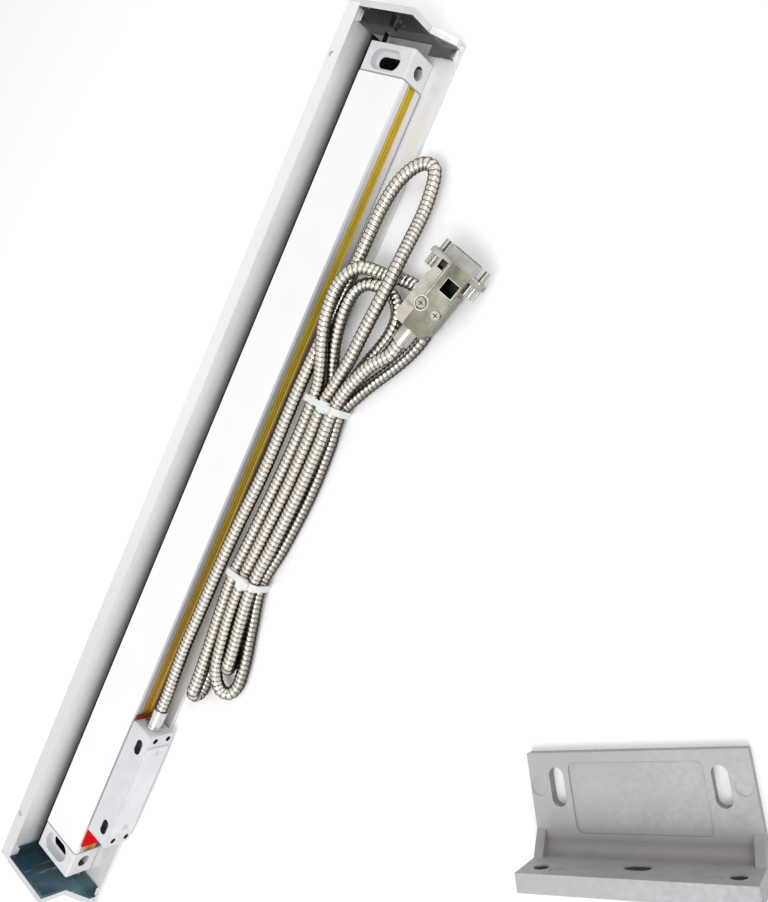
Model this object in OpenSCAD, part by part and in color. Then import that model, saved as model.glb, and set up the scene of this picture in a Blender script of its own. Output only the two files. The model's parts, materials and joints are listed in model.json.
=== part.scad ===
// Sealed linear glass scale lying in its dust cover, with its reader head,
// armoured lead, nine-pin connector and a loose mounting bracket.
// X runs along the scale, Y towards the cover's upright wall and Z up.
// The origin is the centre of the cover's underside.

/* [Measuring length] */
// Travel of the reader head
travel = 350; // [250:10:700]
// How much longer the scale body is than the travel
body_over = 158; // [152:1:180]
// How much longer the dust cover is than the body
cover_over = 26; // [25:1:60]
// How much longer the glass is than the travel
glass_over = 90; // [80:1:100]

/* [Dust cover] */
// Width of the cover's base plate
cover_w = 53; // [50:0.5:60]
// Height of the upright wall
cover_h = 32; // [28:0.5:40]
// Thickness of the base plate
plate_t = 2.5; // [2:0.1:4]
// Thickness of the upright wall
wall_t = 2.2; // [1.6:0.1:3]
// How far the flange stands out from the wall
flange_out = 6.5; // [5:0.1:12]
// Thickness of the flange
flange_t = 2; // [1.4:0.1:3]
// Radius where the plate meets the wall
cover_fillet = 2; // [1:0.5:4]
// Diameter of the holes in the flange
flange_hole_d = 3.4; // [2.4:0.1:4.2]
// Distance from a flange hole to the end of the cover
flange_hole_inset = 28.5; // [12:0.5:60]

/* [Cover caps] */
// Thickness of a cap's end plate
cap_t = 1.6; // [1.2:0.1:3]
// Thickness of the rim round a cap
rim_t = 1.8; // [1.2:0.1:2.4]
// How far the rim stands in from the end plate
rim_depth = 2; // [1.5:0.1:4]
// Height of the knee of the cut-away corner
knee_z = 15; // [12:0.5:18]
// How far the cut-away corner stands inside the body's reader side
corner_in = 2.2; // [1:0.1:4]
// Length of the tongue that is screwed to the cover wall
tongue_l = 6; // [5:0.5:10]

/* [Scale body] */
// Width of the scale body
body_w = 31.4; // [30:0.2:34]
// Height of the scale body
body_h = 18.3; // [17.5:0.1:22]
// Gap between the scale body and the cover wall
body_wall_gap = 6.3; // [4:0.1:8]
// Wall of the body extrusion
body_wall = 2.5; // [2:0.1:3]
// Thickness of the solid back of the extrusion, which holds the screw ports
back_t = 5.4; // [4.6:0.1:6]
// Length of an end block
block_l = 15.5; // [15:0.5:24]
// Distance from the body's end to the middle of its fixing slot
block_slot_inset = 8.5; // [7.5:0.1:9]
// Corner radius of the end blocks
block_r = 1.2; // [0.5:0.1:2]
// Thickness of the gaskets between blocks and extrusion
gasket_t = 0.8; // [0.5:0.1:1.5]
// Height of the slot that the blade runs in
slot_h = 6.4; // [5:0.1:7]
// Opening left between the two lips
lip_gap = 1.4; // [1.2:0.1:2]
// Length of a fixing slot, across the body
fix_slot_l = 14.8; // [12:0.2:18]
// Width of a fixing slot
fix_slot_w = 6.4; // [5:0.1:7]
// How far the recess stands round a fixing slot
recess_margin = 2.5; // [1:0.1:2.8]
// Depth of the recess round a fixing slot
recess_d = 4.5; // [2:0.5:8]
// Diameter of the port in the end block's side
port_d = 7.2; // [5:0.1:8]
// Depth of that port
port_depth = 6; // [3:0.5:7]

/* [Glass and carriage] */
// Height of the glass scale
glass_h = 8.8; // [8:0.1:9.6]
// Thickness of the glass scale
glass_t = 2.5; // [2:0.1:3]
// Thickness of the seating strip round the foot of the glass
seat_t = 0.6; // [0.4:0.1:0.8]
// Depth of the seating groove
seat_depth = 1.2; // [0.8:0.1:1.4]
// Length of the carriage
carriage_l = 56; // [50:1:80]
// Outside diameter of the carriage's ball bearings
bearing_d = 5; // [4:0.1:5.4]
// Width of a bearing
bearing_w = 2; // [1.5:0.1:2.3]
// Diameter of the bearing pins
pin_d = 1.5; // [1:0.1:2]

/* [Reader head] */
// How far the travel is set towards the near end
travel_offset = 7; // [0:1:10]
// Length of the reader head
head_l = 75; // [72:0.5:90]
// Thickness of the reader head, across the scale
head_t = 16.4; // [15.5:0.1:20]
// Gap between the reader head and the scale body
head_gap = 1.6; // [1:0.1:3]
// Gap between the reader head and the cover plate
head_lift = 0.5; // [0.3:0.1:1.5]
// Spacing of the tapped holes along the head
tap_x = 67.5; // [66.5:0.5:70]
// Spacing of the tapped holes up the head
tap_z = 9.5; // [8:0.5:11]
// Diameter of the tapped holes
tap_d = 3.3; // [2.5:0.1:3.6]
// Depth of the tapped holes
tap_depth = 5; // [3:0.5:5]
// Spacing of the slots in the head's top face
pocket_x = 54; // [52:0.5:55]
// Length of those slots
pocket_l = 9; // [6:0.5:9.5]
// Width of those slots
pocket_w = 5; // [3:0.5:6]
// Depth of those slots
pocket_d = 3.6; // [2:0.1:4]
// Length of the head's cover plate
lid_l = 58.5; // [56:0.5:60]
// Thickness of the head's cover plate
lid_t = 1.6; // [1.2:0.1:2.4]
// How far the cover plate stands proud of the head
lid_proud = 0.8; // [0.2:0.1:1.2]
// Thickness of the coupling blade
blade_t = 0.8; // [0.6:0.1:1]
// Thickness of the transport spacer
spacer_t = 1.2; // [0.6:0.1:1.3]
// Length of the spacer's pull tab
spacer_tab = 9.5; // [6:0.5:12]

/* [Lead] */
// Outside diameter of the armoured conduit
cord_d = 7.4; // [6:0.1:8]
// Outside diameter of the gland's ferrule
ferrule_d = 8.4; // [8.2:0.1:9]
// Length of the gland's ferrule
ferrule_l = 10; // [8:0.5:16]
// Width of a cable tie
tie_w = 3.6; // [2.5:0.1:5]
// Thickness of a cable tie
tie_t = 1.2; // [0.8:0.1:1.6]

/* [Connector] */
// Length of the connector hood
hood_l = 38; // [34:0.5:44]
// Width of the connector hood
hood_w = 31; // [30.5:0.1:34]
// Thickness of the connector hood
hood_h = 15.4; // [14.6:0.1:18]
// Wall of the hood shells
hood_wall = 1.4; // [1:0.1:1.8]
// Length of the connector's flange
dflange_w = 30.8; // [30:0.1:32]
// Height of the connector's flange
dflange_h = 12.5; // [12:0.1:13]
// Distance between the jackscrews
jack_x = 25; // [24.8:0.1:25.2]
// Diameter of the jackscrew knobs
knob_d = 6.6; // [5.6:0.1:6.7]

/* [Bracket] */
// Width of the loose bracket
bracket_w = 92; // [88:1:120]
// Height of the bracket's slotted leg
bracket_leg = 48; // [42:1:60]
// Depth of the bracket's foot
bracket_foot = 34; // [32:1:60]
// Thickness of the slotted leg
bracket_leg_t = 5.5; // [5:0.5:8]
// Thickness of the foot
bracket_foot_t = 7.5; // [7:0.5:10]
// Length of the slots in the leg
bracket_slot_l = 16; // [10:0.5:17]
// Width of the slots in the leg
bracket_slot_w = 6.4; // [5:0.1:8]
// Spacing of the corner holes in the foot
bracket_hole_x = 76; // [70:1:78]
// Diameter of the corner holes in the foot
bracket_hole_d = 6.6; // [5:0.1:7]

/* [Hidden] */
$fn = 48;
eps = 0.01;
// clearance of a shaft, pin or screw in its hole, on the radius
run_gap = 0.05;
// how far a bearing pin reaches past its bearing, both ends together
pin_over = 1.6;
// clearance between a cap and the cover wall
cap_fit = 0.2;
// tongue of a cap that lies on the base plate
foot_tongue_w = 17;
foot_tongue_t = 1.2;

// overall lengths
body_l = travel + body_over;
cover_l = body_l + cover_over;
glass_l = travel + glass_over;

// cover
wall_in_y = cover_w / 2 - wall_t;
flange_y = cover_w / 2 + flange_out;
flange_hole_y = (cover_w / 2 + flange_y) / 2 + 0.3;
flange_hole_x = cover_l / 2 - flange_hole_inset;
rim_x = cover_l / 2 - rim_depth;
screw_shank_d = 2.5;
screw_head_d = 4.6;
tongue_screw_x = rim_x - tongue_l / 2;
tongue_screw_z = plate_t + 11;

// scale body
body_y1 = wall_in_y - body_wall_gap;
body_y0 = body_y1 - body_w;
body_z0 = plate_t;
body_z1 = plate_t + body_h;
housing_x = body_l / 2 - block_l - gasket_t;
cavity_y0 = body_y0 + body_wall;
cavity_y1 = body_y1 - back_t;
cavity_z0 = body_z0 + body_wall;
cavity_z1 = body_z1 - body_wall;
slot_z = (cavity_z0 + cavity_z1) / 2 + 0.3;
fix_slot_x = body_l / 2 - block_slot_inset;
fix_slot_y = body_y0 + body_w / 2 + 0.7;
port_x = fix_slot_x;
port_z = (body_z0 + body_z1) / 2;
block_screw_d = 3;
block_screw_y = body_y1 - back_t / 2;
block_screw_z = [body_z0 + 3.6, body_z1 - 3.6];
block_screw_reach = 12;
spigot_l = 3;
spigot_gap = 0.3;

// glass and carriage
glass_y1 = cavity_y1 - 3.1;
glass_y0 = glass_y1 - glass_t;
glass_z0 = cavity_z0 - seat_depth + seat_t;
glass_z1 = glass_z0 + glass_h;
head_x = -travel / 2 - travel_offset;
carriage_y0 = cavity_y0 + 2.1;
carriage_y1 = glass_y0 - bearing_d - 0.2;
carriage_z0 = cavity_z0 + 1.3;
carriage_z1 = cavity_z1 - 0.7;
arm_t = 1.2;
arm_y0 = glass_y1 + 0.7;
bridge_t = 1;
wheel_gap = 0.02;
face_wheel_y = glass_y0 - bearing_d / 2 - wheel_gap;
edge_wheel_z = glass_z1 + bearing_d / 2 + wheel_gap;
wheel_low_z = cavity_z0 + 2.1;
wheel_high_z = wheel_low_z + 4.2;
face_wheel_x = carriage_l / 2 - 6;
edge_wheel_x = 12;
edge_wheel_y = (glass_y0 + glass_y1) / 2;

// reader head
head_y1 = body_y0 - head_gap;
head_y0 = head_y1 - head_t;
head_z0 = plate_t + head_lift;
head_z1 = body_z1;
head_mid_z = (head_z0 + head_z1) / 2 - 1;
pocket_y = head_y1 - head_t * 0.64;
chamber_x = pocket_x / 2 - pocket_l / 2 - 1;
chamber_y1 = head_y1 - 5;
chamber_z0 = head_z0 + 2.4;
chamber_z1 = head_z1 - 2.4;
lid_z0 = head_z0 + 0.8;
lid_z1 = head_z1 - 0.8;
lid_y1 = head_y0 - lid_proud + lid_t;
lid_screw_x = (chamber_x + lid_l / 2) / 2;
board_t = 1.6;
board_y0 = chamber_y1 - 5.6;
gland_y = head_y1 - 8.9;
gland_z = head_z0 + 10;
gland_bore_d = 4.4;
gland_base_d = 9.8;
gland_base_t = 2;
gland_end_x = head_x + head_l / 2 + gland_base_t + ferrule_l;
blade_l = 30;
blade_root = 3.4;
blade_y1 = carriage_y0;

// conduit: points chosen by hand along the free runs
cord_sides = 10;
lead_start = -132.5;
lead_route = [
    [lead_start, gland_y, gland_z], [lead_start + 8, gland_y, gland_z],
    [-108, -23.9, 14.2], [-90, -23.9, 15.4], [-70, -24.1, 15.6],
    [-48, -24, 15.6], [-26, -24.3, 15.6], [-6, -25.2, 15.6],
    [14, -26.4, 15.6], [34, -26.6, 15.6], [54, -26.2, 15.6],
    [74, -25.8, 15.2], [94, -25.8, 14.4], [112, -26.2, 13.4],
    [130, -26.3, 12.6], [146, -26.2, 12.4], [160, -26.4, 12.4],
    [174, -27, 12.4], [186.5, -29, 12.2], [194, -31.8, 11.8],
    [200, -35.6, 11], [203.4, -40.4, 9.8], [202.6, -45, 8.6],
    [198, -47.3, 8], [190, -48.6, 7.6], [180.5, -49.8, 8],
    [172, -50.7, 9.6], [163, -52.3, 12.6], [151.5, -54.2, 16.2],
    [138.7, -54.6, 17.5], [124.6, -53.3, 17.5], [110.3, -51, 16],
    [100, -49.3, 14.7]];
tail_route = [
    [80, -53.8, 13.4], [89, -58, 14.6], [98, -63.2, 15.4]];

// hank: outline of the tied turns, with a rounded foot, and of the fan
hank_h = 16;
// the hank, its ties and the connector move along with the gland
hank_shift = gland_end_x - lead_start;
// middle in X and Y and half width of each tie
tie_near_at = [-38, -40.4, 11.3];
tie_far_at = [68, -43, 11.9];
tie_corner = 4;
tie_fit = 0.1;
tie_head = [6, 5, 3];
hank_outline = [
    [-103, -34.8], [-80, -31.5], [-46, -29.2], [-30, -29.2], [5, -30.8],
    [22, -31.5], [45, -31.8], [71.5, -31.2], [71.5, -54.6], [48, -54.6],
    [20, -55], [-14, -52], [-45, -51.4], [-80, -59.5], [-103, -60]];
hank_foot = [-103, -47.4, 12.6];
fan_h = 11.4;
fan_outline = [
    [70.2, -31.3], [126, -32], [137, -38], [139, -57], [122, -62],
    [97, -61], [80, -57], [70.2, -54]];
run_h = 7.4;
run_outline = [
    [70.2, -31.3], [126, -32], [139, -36], [146, -46], [147, -60],
    [136, -73], [124, -79], [109, -77], [94, -67.5], [76, -59.5],
    [70.2, -54.6]];

// connector: it lies on the surface, turned about its cable entry
conn_pos = [114.8, -74.1];
conn_turn = -18;
conn_roll = 20;
conn_z = 15.6;
function conn_entry(k) = [
    conn_pos.x - k * cos(conn_turn), conn_pos.y - k * sin(conn_turn),
    conn_z];
crimp_l = 9;
crimp_d = 9.6;
hood_neck = 16;
hood_x0 = crimp_l;
hood_x1 = crimp_l + hood_l;
dflange_t = 0.8;
dshell_l = 5.8;
hood_screw_d = 2.6;
hood_screw_x = hood_x0 + 13.8;
hood_screw_ys = [-7.4, 2.4];
hood_half = 10;
hood_lug = 2.4;
bay_y = 9.1;
bay_l = 8.5;
plateau_t = 1.2;
plateau_l = 28;
raised_y = 3.2;
raised_x = hood_x0 + 10;
notch_d = 6.6;
window = [7.3, 7.5];
window_at = [hood_x0 + 24, -8];
latch_slot = [4.6, 3.6];
latch_slot_at = [hood_x1 - 6.2, 4.2];
knob_l = 6;
knurl_n = 18;
jack_d = 3;

// bracket: it lies on the outer face of its slotted leg
bracket_pos = [-37.5, -283.4];
bracket_turn = 36.5;
bracket_slot_x = tap_x;
bracket_slot_inset = 14;
bracket_slot_v = bracket_leg - bracket_slot_inset;
bracket_hole_inset = 9;
bracket_mid_slot = [11, 7];
bracket_mid_inset = 14;
bracket_fillet = 5;
bracket_panel_w = 56;
bracket_panel_margin = 6;
bracket_panel_d = 0.8;
bracket_gusset = 4;
// round marks of the ejector pins: diameter and depth
bracket_mark = [7, 0.3];

// ---------------------------------------------------------------- helpers

// A (Y, Z) outline carried along X from x0.
module along_x(x0, l) {
    translate([x0, 0, 0]) rotate([90, 0, 90]) linear_extrude(l) children();
}

// An (X, Z) outline carried along Y from y0 towards +Y.
module along_y(y0, l) {
    translate([0, y0 + l, 0]) rotate([90, 0, 0]) linear_extrude(l) children();
}

// A rectangle with round corners, from its low corner.
module round_rect(low, size, r) {
    translate(low) {
        translate([r, 0]) square([size.x - 2 * r, size.y]);
        translate([0, r]) square([size.x, size.y - 2 * r]);
        for (x = [r, size.x - r], y = [r, size.y - r]) {
            translate([x, y]) circle(r);
        }
    }
}

// A slot outline, end to end length l along its first axis.
module slot_2d(l, w) {
    square([l - w, w], center = true);
    for (side = [-1, 1]) translate([side * (l - w) / 2, 0]) circle(d = w);
}

// A closed outline moved outwards by t with square corners.
function unit(v) = v / norm(v);
function side_normal(a, b) = unit([(b - a).y, -(b - a).x]);
function grow(points, t) = [
    for (i = [0 : len(points) - 1])
        let (
            last = points[(i + len(points) - 1) % len(points)],
            next = points[(i + 1) % len(points)],
            n1 = side_normal(last, points[i]),
            n2 = side_normal(points[i], next)
        )
        points[i] + t * (n1 + n2) / (1 + n1 * n2)];

// A tube swept along a list of points, with flat ends.
function path_dir(path, i) =
    unit(path[min(i + 1, len(path) - 1)] - path[max(i - 1, 0)]);
function path_side(path, i) = unit(cross(path_dir(path, i), [0, 0, 1]));
module swept_tube(path, d) {
    rings = len(path);
    points = [
        for (i = [0 : rings - 1])
            let (
                u = path_side(path, i),
                w = cross(u, path_dir(path, i))
            )
            for (k = [0 : cord_sides - 1])
                let (a = 360 * k / cord_sides)
                path[i] + d / 2 * (u * cos(a) + w * sin(a))];
    sides = [
        for (i = [0 : rings - 2], k = [0 : cord_sides - 1])
            let (j = (k + 1) % cord_sides)
            [i * cord_sides + k, i * cord_sides + j,
             (i + 1) * cord_sides + j, (i + 1) * cord_sides + k]];
    first = [for (k = [cord_sides - 1 : -1 : 0]) k];
    last = [for (k = [0 : cord_sides - 1]) (rings - 1) * cord_sides + k];
    polyhedron(points, concat([first], sides, [last]));
}

// A pan-head screw along +Z: the head's underside is at the origin.
module pan_screw(head_d, head_h, shank_d, shank_l) {
    difference() {
        cylinder(d = head_d, h = head_h);
        for (a = [0, 90]) rotate([0, 0, a]) {
            translate([-head_d * 0.3, -head_d * 0.06, head_h * 0.5]) {
                cube([head_d * 0.6, head_d * 0.12, head_h]);
            }
        }
    }
    translate([0, 0, -shank_l]) cylinder(d = shank_d, h = shank_l);
}

// ---------------------------------------------------------------- cover

module cover_section() {
    polygon([
        [-cover_w / 2, 0], [cover_w / 2, 0],
        [cover_w / 2, cover_h - flange_t], [flange_y, cover_h - flange_t],
        [flange_y, cover_h], [wall_in_y, cover_h],
        [wall_in_y, plate_t], [-cover_w / 2, plate_t]]);
    translate([wall_in_y - cover_fillet, plate_t]) difference() {
        translate([0, -eps]) square([cover_fillet + eps, cover_fillet + eps]);
        translate([0, cover_fillet]) circle(cover_fillet);
    }
}

module dust_cover() {
    color("lightsteelblue") difference() {
        along_x(-cover_l / 2, cover_l) cover_section();
        for (side = [-1, 1]) {
            translate([side * flange_hole_x, flange_hole_y, 0]) {
                cylinder(d = flange_hole_d, h = cover_h + 1);
            }
            translate([side * fix_slot_x, fix_slot_y, -1]) {
                linear_extrude(plate_t + 2) rotate(90)
                    slot_2d(fix_slot_l, fix_slot_w);
            }
            translate([side * tongue_screw_x, cover_w / 2 + 1, tongue_screw_z]) {
                rotate([90, 0, 0])
                    cylinder(d = screw_shank_d + 2 * run_gap, h = wall_t + 2);
            }
        }
    }
}

// Inside outline of a cap's rim, with the corner cut away for the head.
function cap_mouth() = [
    [-cover_w / 2 + rim_t + 1, plate_t + rim_t],
    [wall_in_y - cap_fit - rim_t, plate_t + rim_t],
    [wall_in_y - cap_fit - rim_t, cover_h - 1.2],
    [body_y0 + corner_in, cover_h - 1.2],
    [body_y0 + corner_in - 0.4, knee_z],
    [-cover_w / 2 + rim_t + 1, plate_t + rim_t + 1.6]];

module cap_face() {
    polygon(grow(cap_mouth(), rim_t));
    polygon([
        [-cover_w / 2, 0], [cover_w / 2, 0],
        [cover_w / 2, cover_h - flange_t], [flange_y, cover_h - flange_t],
        [flange_y, cover_h], [0, cover_h], [0, plate_t],
        [-cover_w / 2, plate_t]]);
}

module cover_cap() {
    difference() {
        union() {
            along_x(cover_l / 2, cap_t) cap_face();
            along_x(rim_x, rim_depth) difference() {
                polygon(grow(cap_mouth(), rim_t));
                polygon(cap_mouth());
            }
            along_x(rim_x - tongue_l, tongue_l + rim_depth) {
                translate([wall_in_y - cap_fit - rim_t, plate_t + 6]) {
                    square([rim_t, cover_h - plate_t - 9]);
                }
            }
            // second tongue, flat on the base plate at the open corner
            translate([rim_x - tongue_l, -cover_w / 2 + rim_t, plate_t])
                cube([tongue_l + rim_depth, foot_tongue_w, foot_tongue_t]);
            // two short ribs on the inside of the end plate
            for (dy = [-1.2, 1.2]) {
                translate([cover_l / 2 - 1, fix_slot_y + 4 + dy, knee_z - 2]) {
                    cube([1 + eps, 0.8, 5]);
                }
            }
        }
        translate([tongue_screw_x, wall_in_y, tongue_screw_z]) {
            rotate([90, 0, 0]) cylinder(d = screw_shank_d, h = 6);
        }
    }
}

module cover_cap_far() {
    color("silver") cover_cap();
}

module cover_cap_near() {
    color("silver") mirror([1, 0, 0]) cover_cap();
}

module cap_screws() {
    color("dimgray") for (side = [-1, 1]) {
        translate([side * tongue_screw_x, cover_w / 2, tongue_screw_z]) {
            rotate([-90, 0, 0]) pan_screw(
                screw_head_d, 1.5, screw_shank_d,
                wall_t + cap_fit + rim_t);
        }
    }
}

// ---------------------------------------------------------------- body

module lip_grooves(gap) {
    for (side = [-1, 1]) {
        translate([body_y0 + 0.9 - gap, slot_z + side * (slot_h / 2 + 0.8)]) {
            translate([0, -0.8 - gap])
                square([1.1 + 2 * gap, 1.6 + 2 * gap]);
        }
    }
}

module housing_section() {
    difference() {
        round_rect([body_y0, body_z0], [body_w, body_h], 0.6);
        translate([cavity_y0, cavity_z0])
            square([cavity_y1 - cavity_y0, cavity_z1 - cavity_z0]);
        translate([body_y0 - 1, slot_z - slot_h / 2])
            square([body_wall + 2, slot_h]);
        lip_grooves(0);
        translate([glass_y0 - seat_t, cavity_z0 - seat_depth])
            square([glass_t + 2 * seat_t, seat_depth + 1]);
        for (z = block_screw_z) {
            translate([block_screw_y, z]) circle(d = block_screw_d);
        }
    }
}

module scale_housing() {
    color("white") along_x(-housing_x, 2 * housing_x) housing_section();
}

module end_block() {
    x0 = body_l / 2 - block_l;
    difference() {
        union() {
            along_x(x0, block_l)
                round_rect([body_y0, body_z0], [body_w, body_h], block_r);
            // spigot that locates the block in the extrusion
            along_x(x0 - gasket_t - spigot_l, gasket_t + spigot_l + eps)
                translate([cavity_y0 + 2, cavity_z0 + spigot_gap])
                square([
                    glass_y0 - cavity_y0 - 4,
                    cavity_z1 - cavity_z0 - 2 * spigot_gap]);
        }
        translate([fix_slot_x, fix_slot_y, body_z0 - 1]) {
            linear_extrude(body_h + 2) rotate(90)
                slot_2d(fix_slot_l, fix_slot_w);
        }
        translate([fix_slot_x, fix_slot_y, body_z1 - recess_d]) {
            linear_extrude(recess_d + 1) rotate(90) slot_2d(
                fix_slot_l + 2 * recess_margin,
                fix_slot_w + 2 * recess_margin);
        }
        translate([port_x, body_y0 - 1, port_z]) rotate([-90, 0, 0]) {
            cylinder(d = port_d, h = port_depth + 1);
        }
        for (z = block_screw_z) {
            translate([x0 - 1, block_screw_y, z]) rotate([0, 90, 0])
                cylinder(d = block_screw_d + 2 * run_gap, h = block_l + 2);
            translate([body_l / 2 - 2.4, block_screw_y, z])
                rotate([0, 90, 0]) cylinder(d = 5, h = 3);
        }
    }
}

module end_block_far() {
    color("gainsboro") end_block();
}

module end_block_near() {
    color("gainsboro") mirror([1, 0, 0]) end_block();
}

module end_gasket() {
    difference() {
        along_x(body_l / 2 - block_l - gasket_t, gasket_t) difference() {
            round_rect([body_y0, body_z0], [body_w, body_h], block_r);
            translate([cavity_y0, cavity_z0])
                square([cavity_y1 - cavity_y0, cavity_z1 - cavity_z0]);
            for (z = block_screw_z) {
                translate([block_screw_y, z])
                    circle(d = block_screw_d + 2 * run_gap);
            }
        }
    }
}

module end_gaskets() {
    color("dimgray") {
        end_gasket();
        mirror([1, 0, 0]) end_gasket();
    }
}

module block_screws() {
    color("gray") for (side = [0, 1], z = block_screw_z) {
        mirror([side, 0, 0])
            translate([body_l / 2 - 2.4, block_screw_y, z])
            rotate([0, 90, 0]) pan_screw(
                4.8, 2, block_screw_d,
                block_l - 2.4 + gasket_t + block_screw_reach);
    }
}

// One lip: a bead held in the groove and a blade that reaches to the slit.
module lip_section(side) {
    root_z = slot_z + side * slot_h / 2;
    tip_z = slot_z + side * lip_gap / 2;
    translate([body_y0 + 0.9, min(root_z, root_z + side * 1.6)])
        square([1.1, 1.6]);
    polygon([
        [body_y0 + 0.9, root_z], [body_y0 + 2, root_z],
        [body_y0 + 0.9, tip_z], [body_y0 + 0.2, tip_z]]);
}

module lip_seal_upper() {
    color("goldenrod")
        along_x(-housing_x, 2 * housing_x) lip_section(1);
}

module lip_seal_lower() {
    color("goldenrod")
        along_x(-housing_x, 2 * housing_x) lip_section(-1);
}

module glass_scale() {
    color("azure") translate([-glass_l / 2, glass_y0, glass_z0])
        cube([glass_l, glass_t, glass_h]);
}

module glass_seat_strip() {
    color("black") along_x(-glass_l / 2, glass_l) difference() {
        translate([glass_y0 - seat_t, cavity_z0 - seat_depth])
            square([glass_t + 2 * seat_t, seat_depth]);
        translate([glass_y0, glass_z0]) square([glass_t, glass_h]);
    }
}

// ---------------------------------------------------------------- carriage

// Pocket round one bearing.
module wheel_pocket(centre, axis_turn) {
    translate([head_x, 0, 0] + centre) rotate(axis_turn)
        cylinder(d = bearing_d + 1.2, h = bearing_w + 0.6, center = true);
}

face_wheels = [
    [-face_wheel_x, face_wheel_y, wheel_low_z],
    [face_wheel_x, face_wheel_y, wheel_low_z],
    [-edge_wheel_x, face_wheel_y, wheel_high_z]];
edge_wheels = [
    [-edge_wheel_x - 8, edge_wheel_y, edge_wheel_z],
    [edge_wheel_x + 8, edge_wheel_y, edge_wheel_z]];

module carriage() {
    x0 = head_x - carriage_l / 2;
    color("dimgray") difference() {
        union() {
            translate([x0, carriage_y0, carriage_z0]) cube([
                carriage_l, face_wheel_y - carriage_y0 + 1,
                carriage_z1 - carriage_z0]);
            translate([x0, face_wheel_y, glass_z1 + 0.6]) cube([
                carriage_l, arm_y0 + arm_t - face_wheel_y,
                carriage_z1 - glass_z1 - 0.6]);
            translate([x0, arm_y0, carriage_z0 + 0.6])
                cube([carriage_l, arm_t, carriage_z1 - carriage_z0 - 0.6]);
        }
        for (c = face_wheels) {
            wheel_pocket(c, [0, 0, 0]);
            translate([head_x, 0, 0] + c) cylinder(
                d = pin_d, h = bearing_w + pin_over, center = true);
        }
        for (c = edge_wheels) {
            wheel_pocket(c, [90, 0, 0]);
            translate([head_x, 0, 0] + c) rotate([90, 0, 0]) cylinder(
                d = pin_d, h = bearing_w + pin_over, center = true);
        }
        // window for the lamp
        translate([head_x + 4, carriage_y0 + 4, slot_z - 2.4])
            rotate([-90, 0, 0]) cylinder(d = 3.2, h = 20);
        // seat for the sensor in the back arm
        translate([head_x - 3, arm_y0 - 1, slot_z - 4.4])
            cube([12, 1.6, 4]);
    }
}

module bearing_pins() {
    color("silver") {
        for (c = face_wheels) translate([head_x, 0, 0] + c)
            cylinder(d = pin_d, h = bearing_w + pin_over, center = true);
        for (c = edge_wheels) translate([head_x, 0, 0] + c)
            rotate([90, 0, 0])
            cylinder(d = pin_d, h = bearing_w + pin_over, center = true);
    }
}

module bearing(centre, turn) {
    color("lightgray") translate([head_x, 0, 0] + centre) rotate(turn)
        difference() {
            cylinder(d = bearing_d, h = bearing_w, center = true);
            cylinder(
                d = pin_d + 2 * run_gap, h = bearing_w + 1, center = true);
        }
}

module bearing_face_1() {
    bearing(face_wheels[0], [0, 0, 0]);
}

module bearing_face_2() {
    bearing(face_wheels[1], [0, 0, 0]);
}

module bearing_face_3() {
    bearing(face_wheels[2], [0, 0, 0]);
}

module bearing_edge_1() {
    bearing(edge_wheels[0], [90, 0, 0]);
}

module bearing_edge_2() {
    bearing(edge_wheels[1], [90, 0, 0]);
}

module light_source() {
    y0 = carriage_y0 + 4;
    color("lightyellow") translate([head_x + 4, y0, slot_z - 2.4])
        rotate([-90, 0, 0]) cylinder(d = 3, h = glass_y0 - 0.6 - y0);
}

module photo_sensor() {
    color("black") translate([head_x - 3, arm_y0, slot_z - 4.4])
        cube([12, 0.6, 4]);
}

module index_grating() {
    color("azure") translate([head_x - 3, glass_y1 + 0.3, slot_z - 4.4])
        cube([12, arm_y0 - glass_y1 - 0.3, 4]);
}

module coupling_blade() {
    color("silver") translate([head_x - blade_l / 2, 0, slot_z]) {
        translate([0, head_y1 - blade_root, -blade_t / 2])
            cube([blade_l, blade_y1 - head_y1 + blade_root, blade_t]);
    }
}

// ---------------------------------------------------------------- head

module at_taps() {
    for (sx = [-1, 1], sz = [-1, 1]) translate([
        head_x + sx * tap_x / 2, head_y0, head_mid_z + sz * tap_z / 2])
        children();
}

module reader_housing() {
    color("gainsboro") difference() {
        along_y(head_y0, head_t) translate([head_x, 0]) round_rect(
            [-head_l / 2, head_z0], [head_l, head_z1 - head_z0], 1.4);
        // chamber for the circuit board
        difference() {
            translate([head_x - chamber_x, head_y0 - 1, chamber_z0]) cube([
                2 * chamber_x, chamber_y1 - head_y0 + 1,
                chamber_z1 - chamber_z0]);
            for (sx = [-1, 1], z = [chamber_z0 + 2.2, chamber_z1 - 2.2]) {
                translate([
                    head_x + sx * (chamber_x - 3),
                    board_y0 + board_t, z])
                    rotate([-90, 0, 0]) cylinder(d = 3.2, h = 8);
            }
        }
        // rebate for the cover plate
        translate([head_x - lid_l / 2, head_y0 - 1, lid_z0])
            cube([lid_l, lid_y1 - head_y0 + 1, lid_z1 - lid_z0]);
        for (side = [-1, 1]) {
            translate([head_x + side * lid_screw_x, head_y0 - 1, head_mid_z])
                rotate([-90, 0, 0]) cylinder(d = 2, h = 7);
            translate([
                head_x + side * pocket_x / 2, pocket_y,
                head_z1 - pocket_d])
                linear_extrude(pocket_d + 1) slot_2d(pocket_l, pocket_w);
        }
        at_taps() translate([0, -1, 0]) rotate([-90, 0, 0])
            cylinder(d = tap_d, h = tap_depth + 1);
        // way out for the lead
        translate([head_x + chamber_x - 1, gland_y, gland_z])
            rotate([0, 90, 0]) cylinder(d = gland_bore_d, h = head_l);
        // slit for the coupling blade
        translate([
            head_x - blade_l / 2, head_y1 - blade_root,
            slot_z - blade_t / 2])
            cube([blade_l, blade_root + 1, blade_t]);
        translate([
            head_x + head_l / 2 - 4, gland_y + 6.4, gland_z])
            rotate([0, 90, 0]) cylinder(d = 2, h = 5);
    }
}

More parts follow.
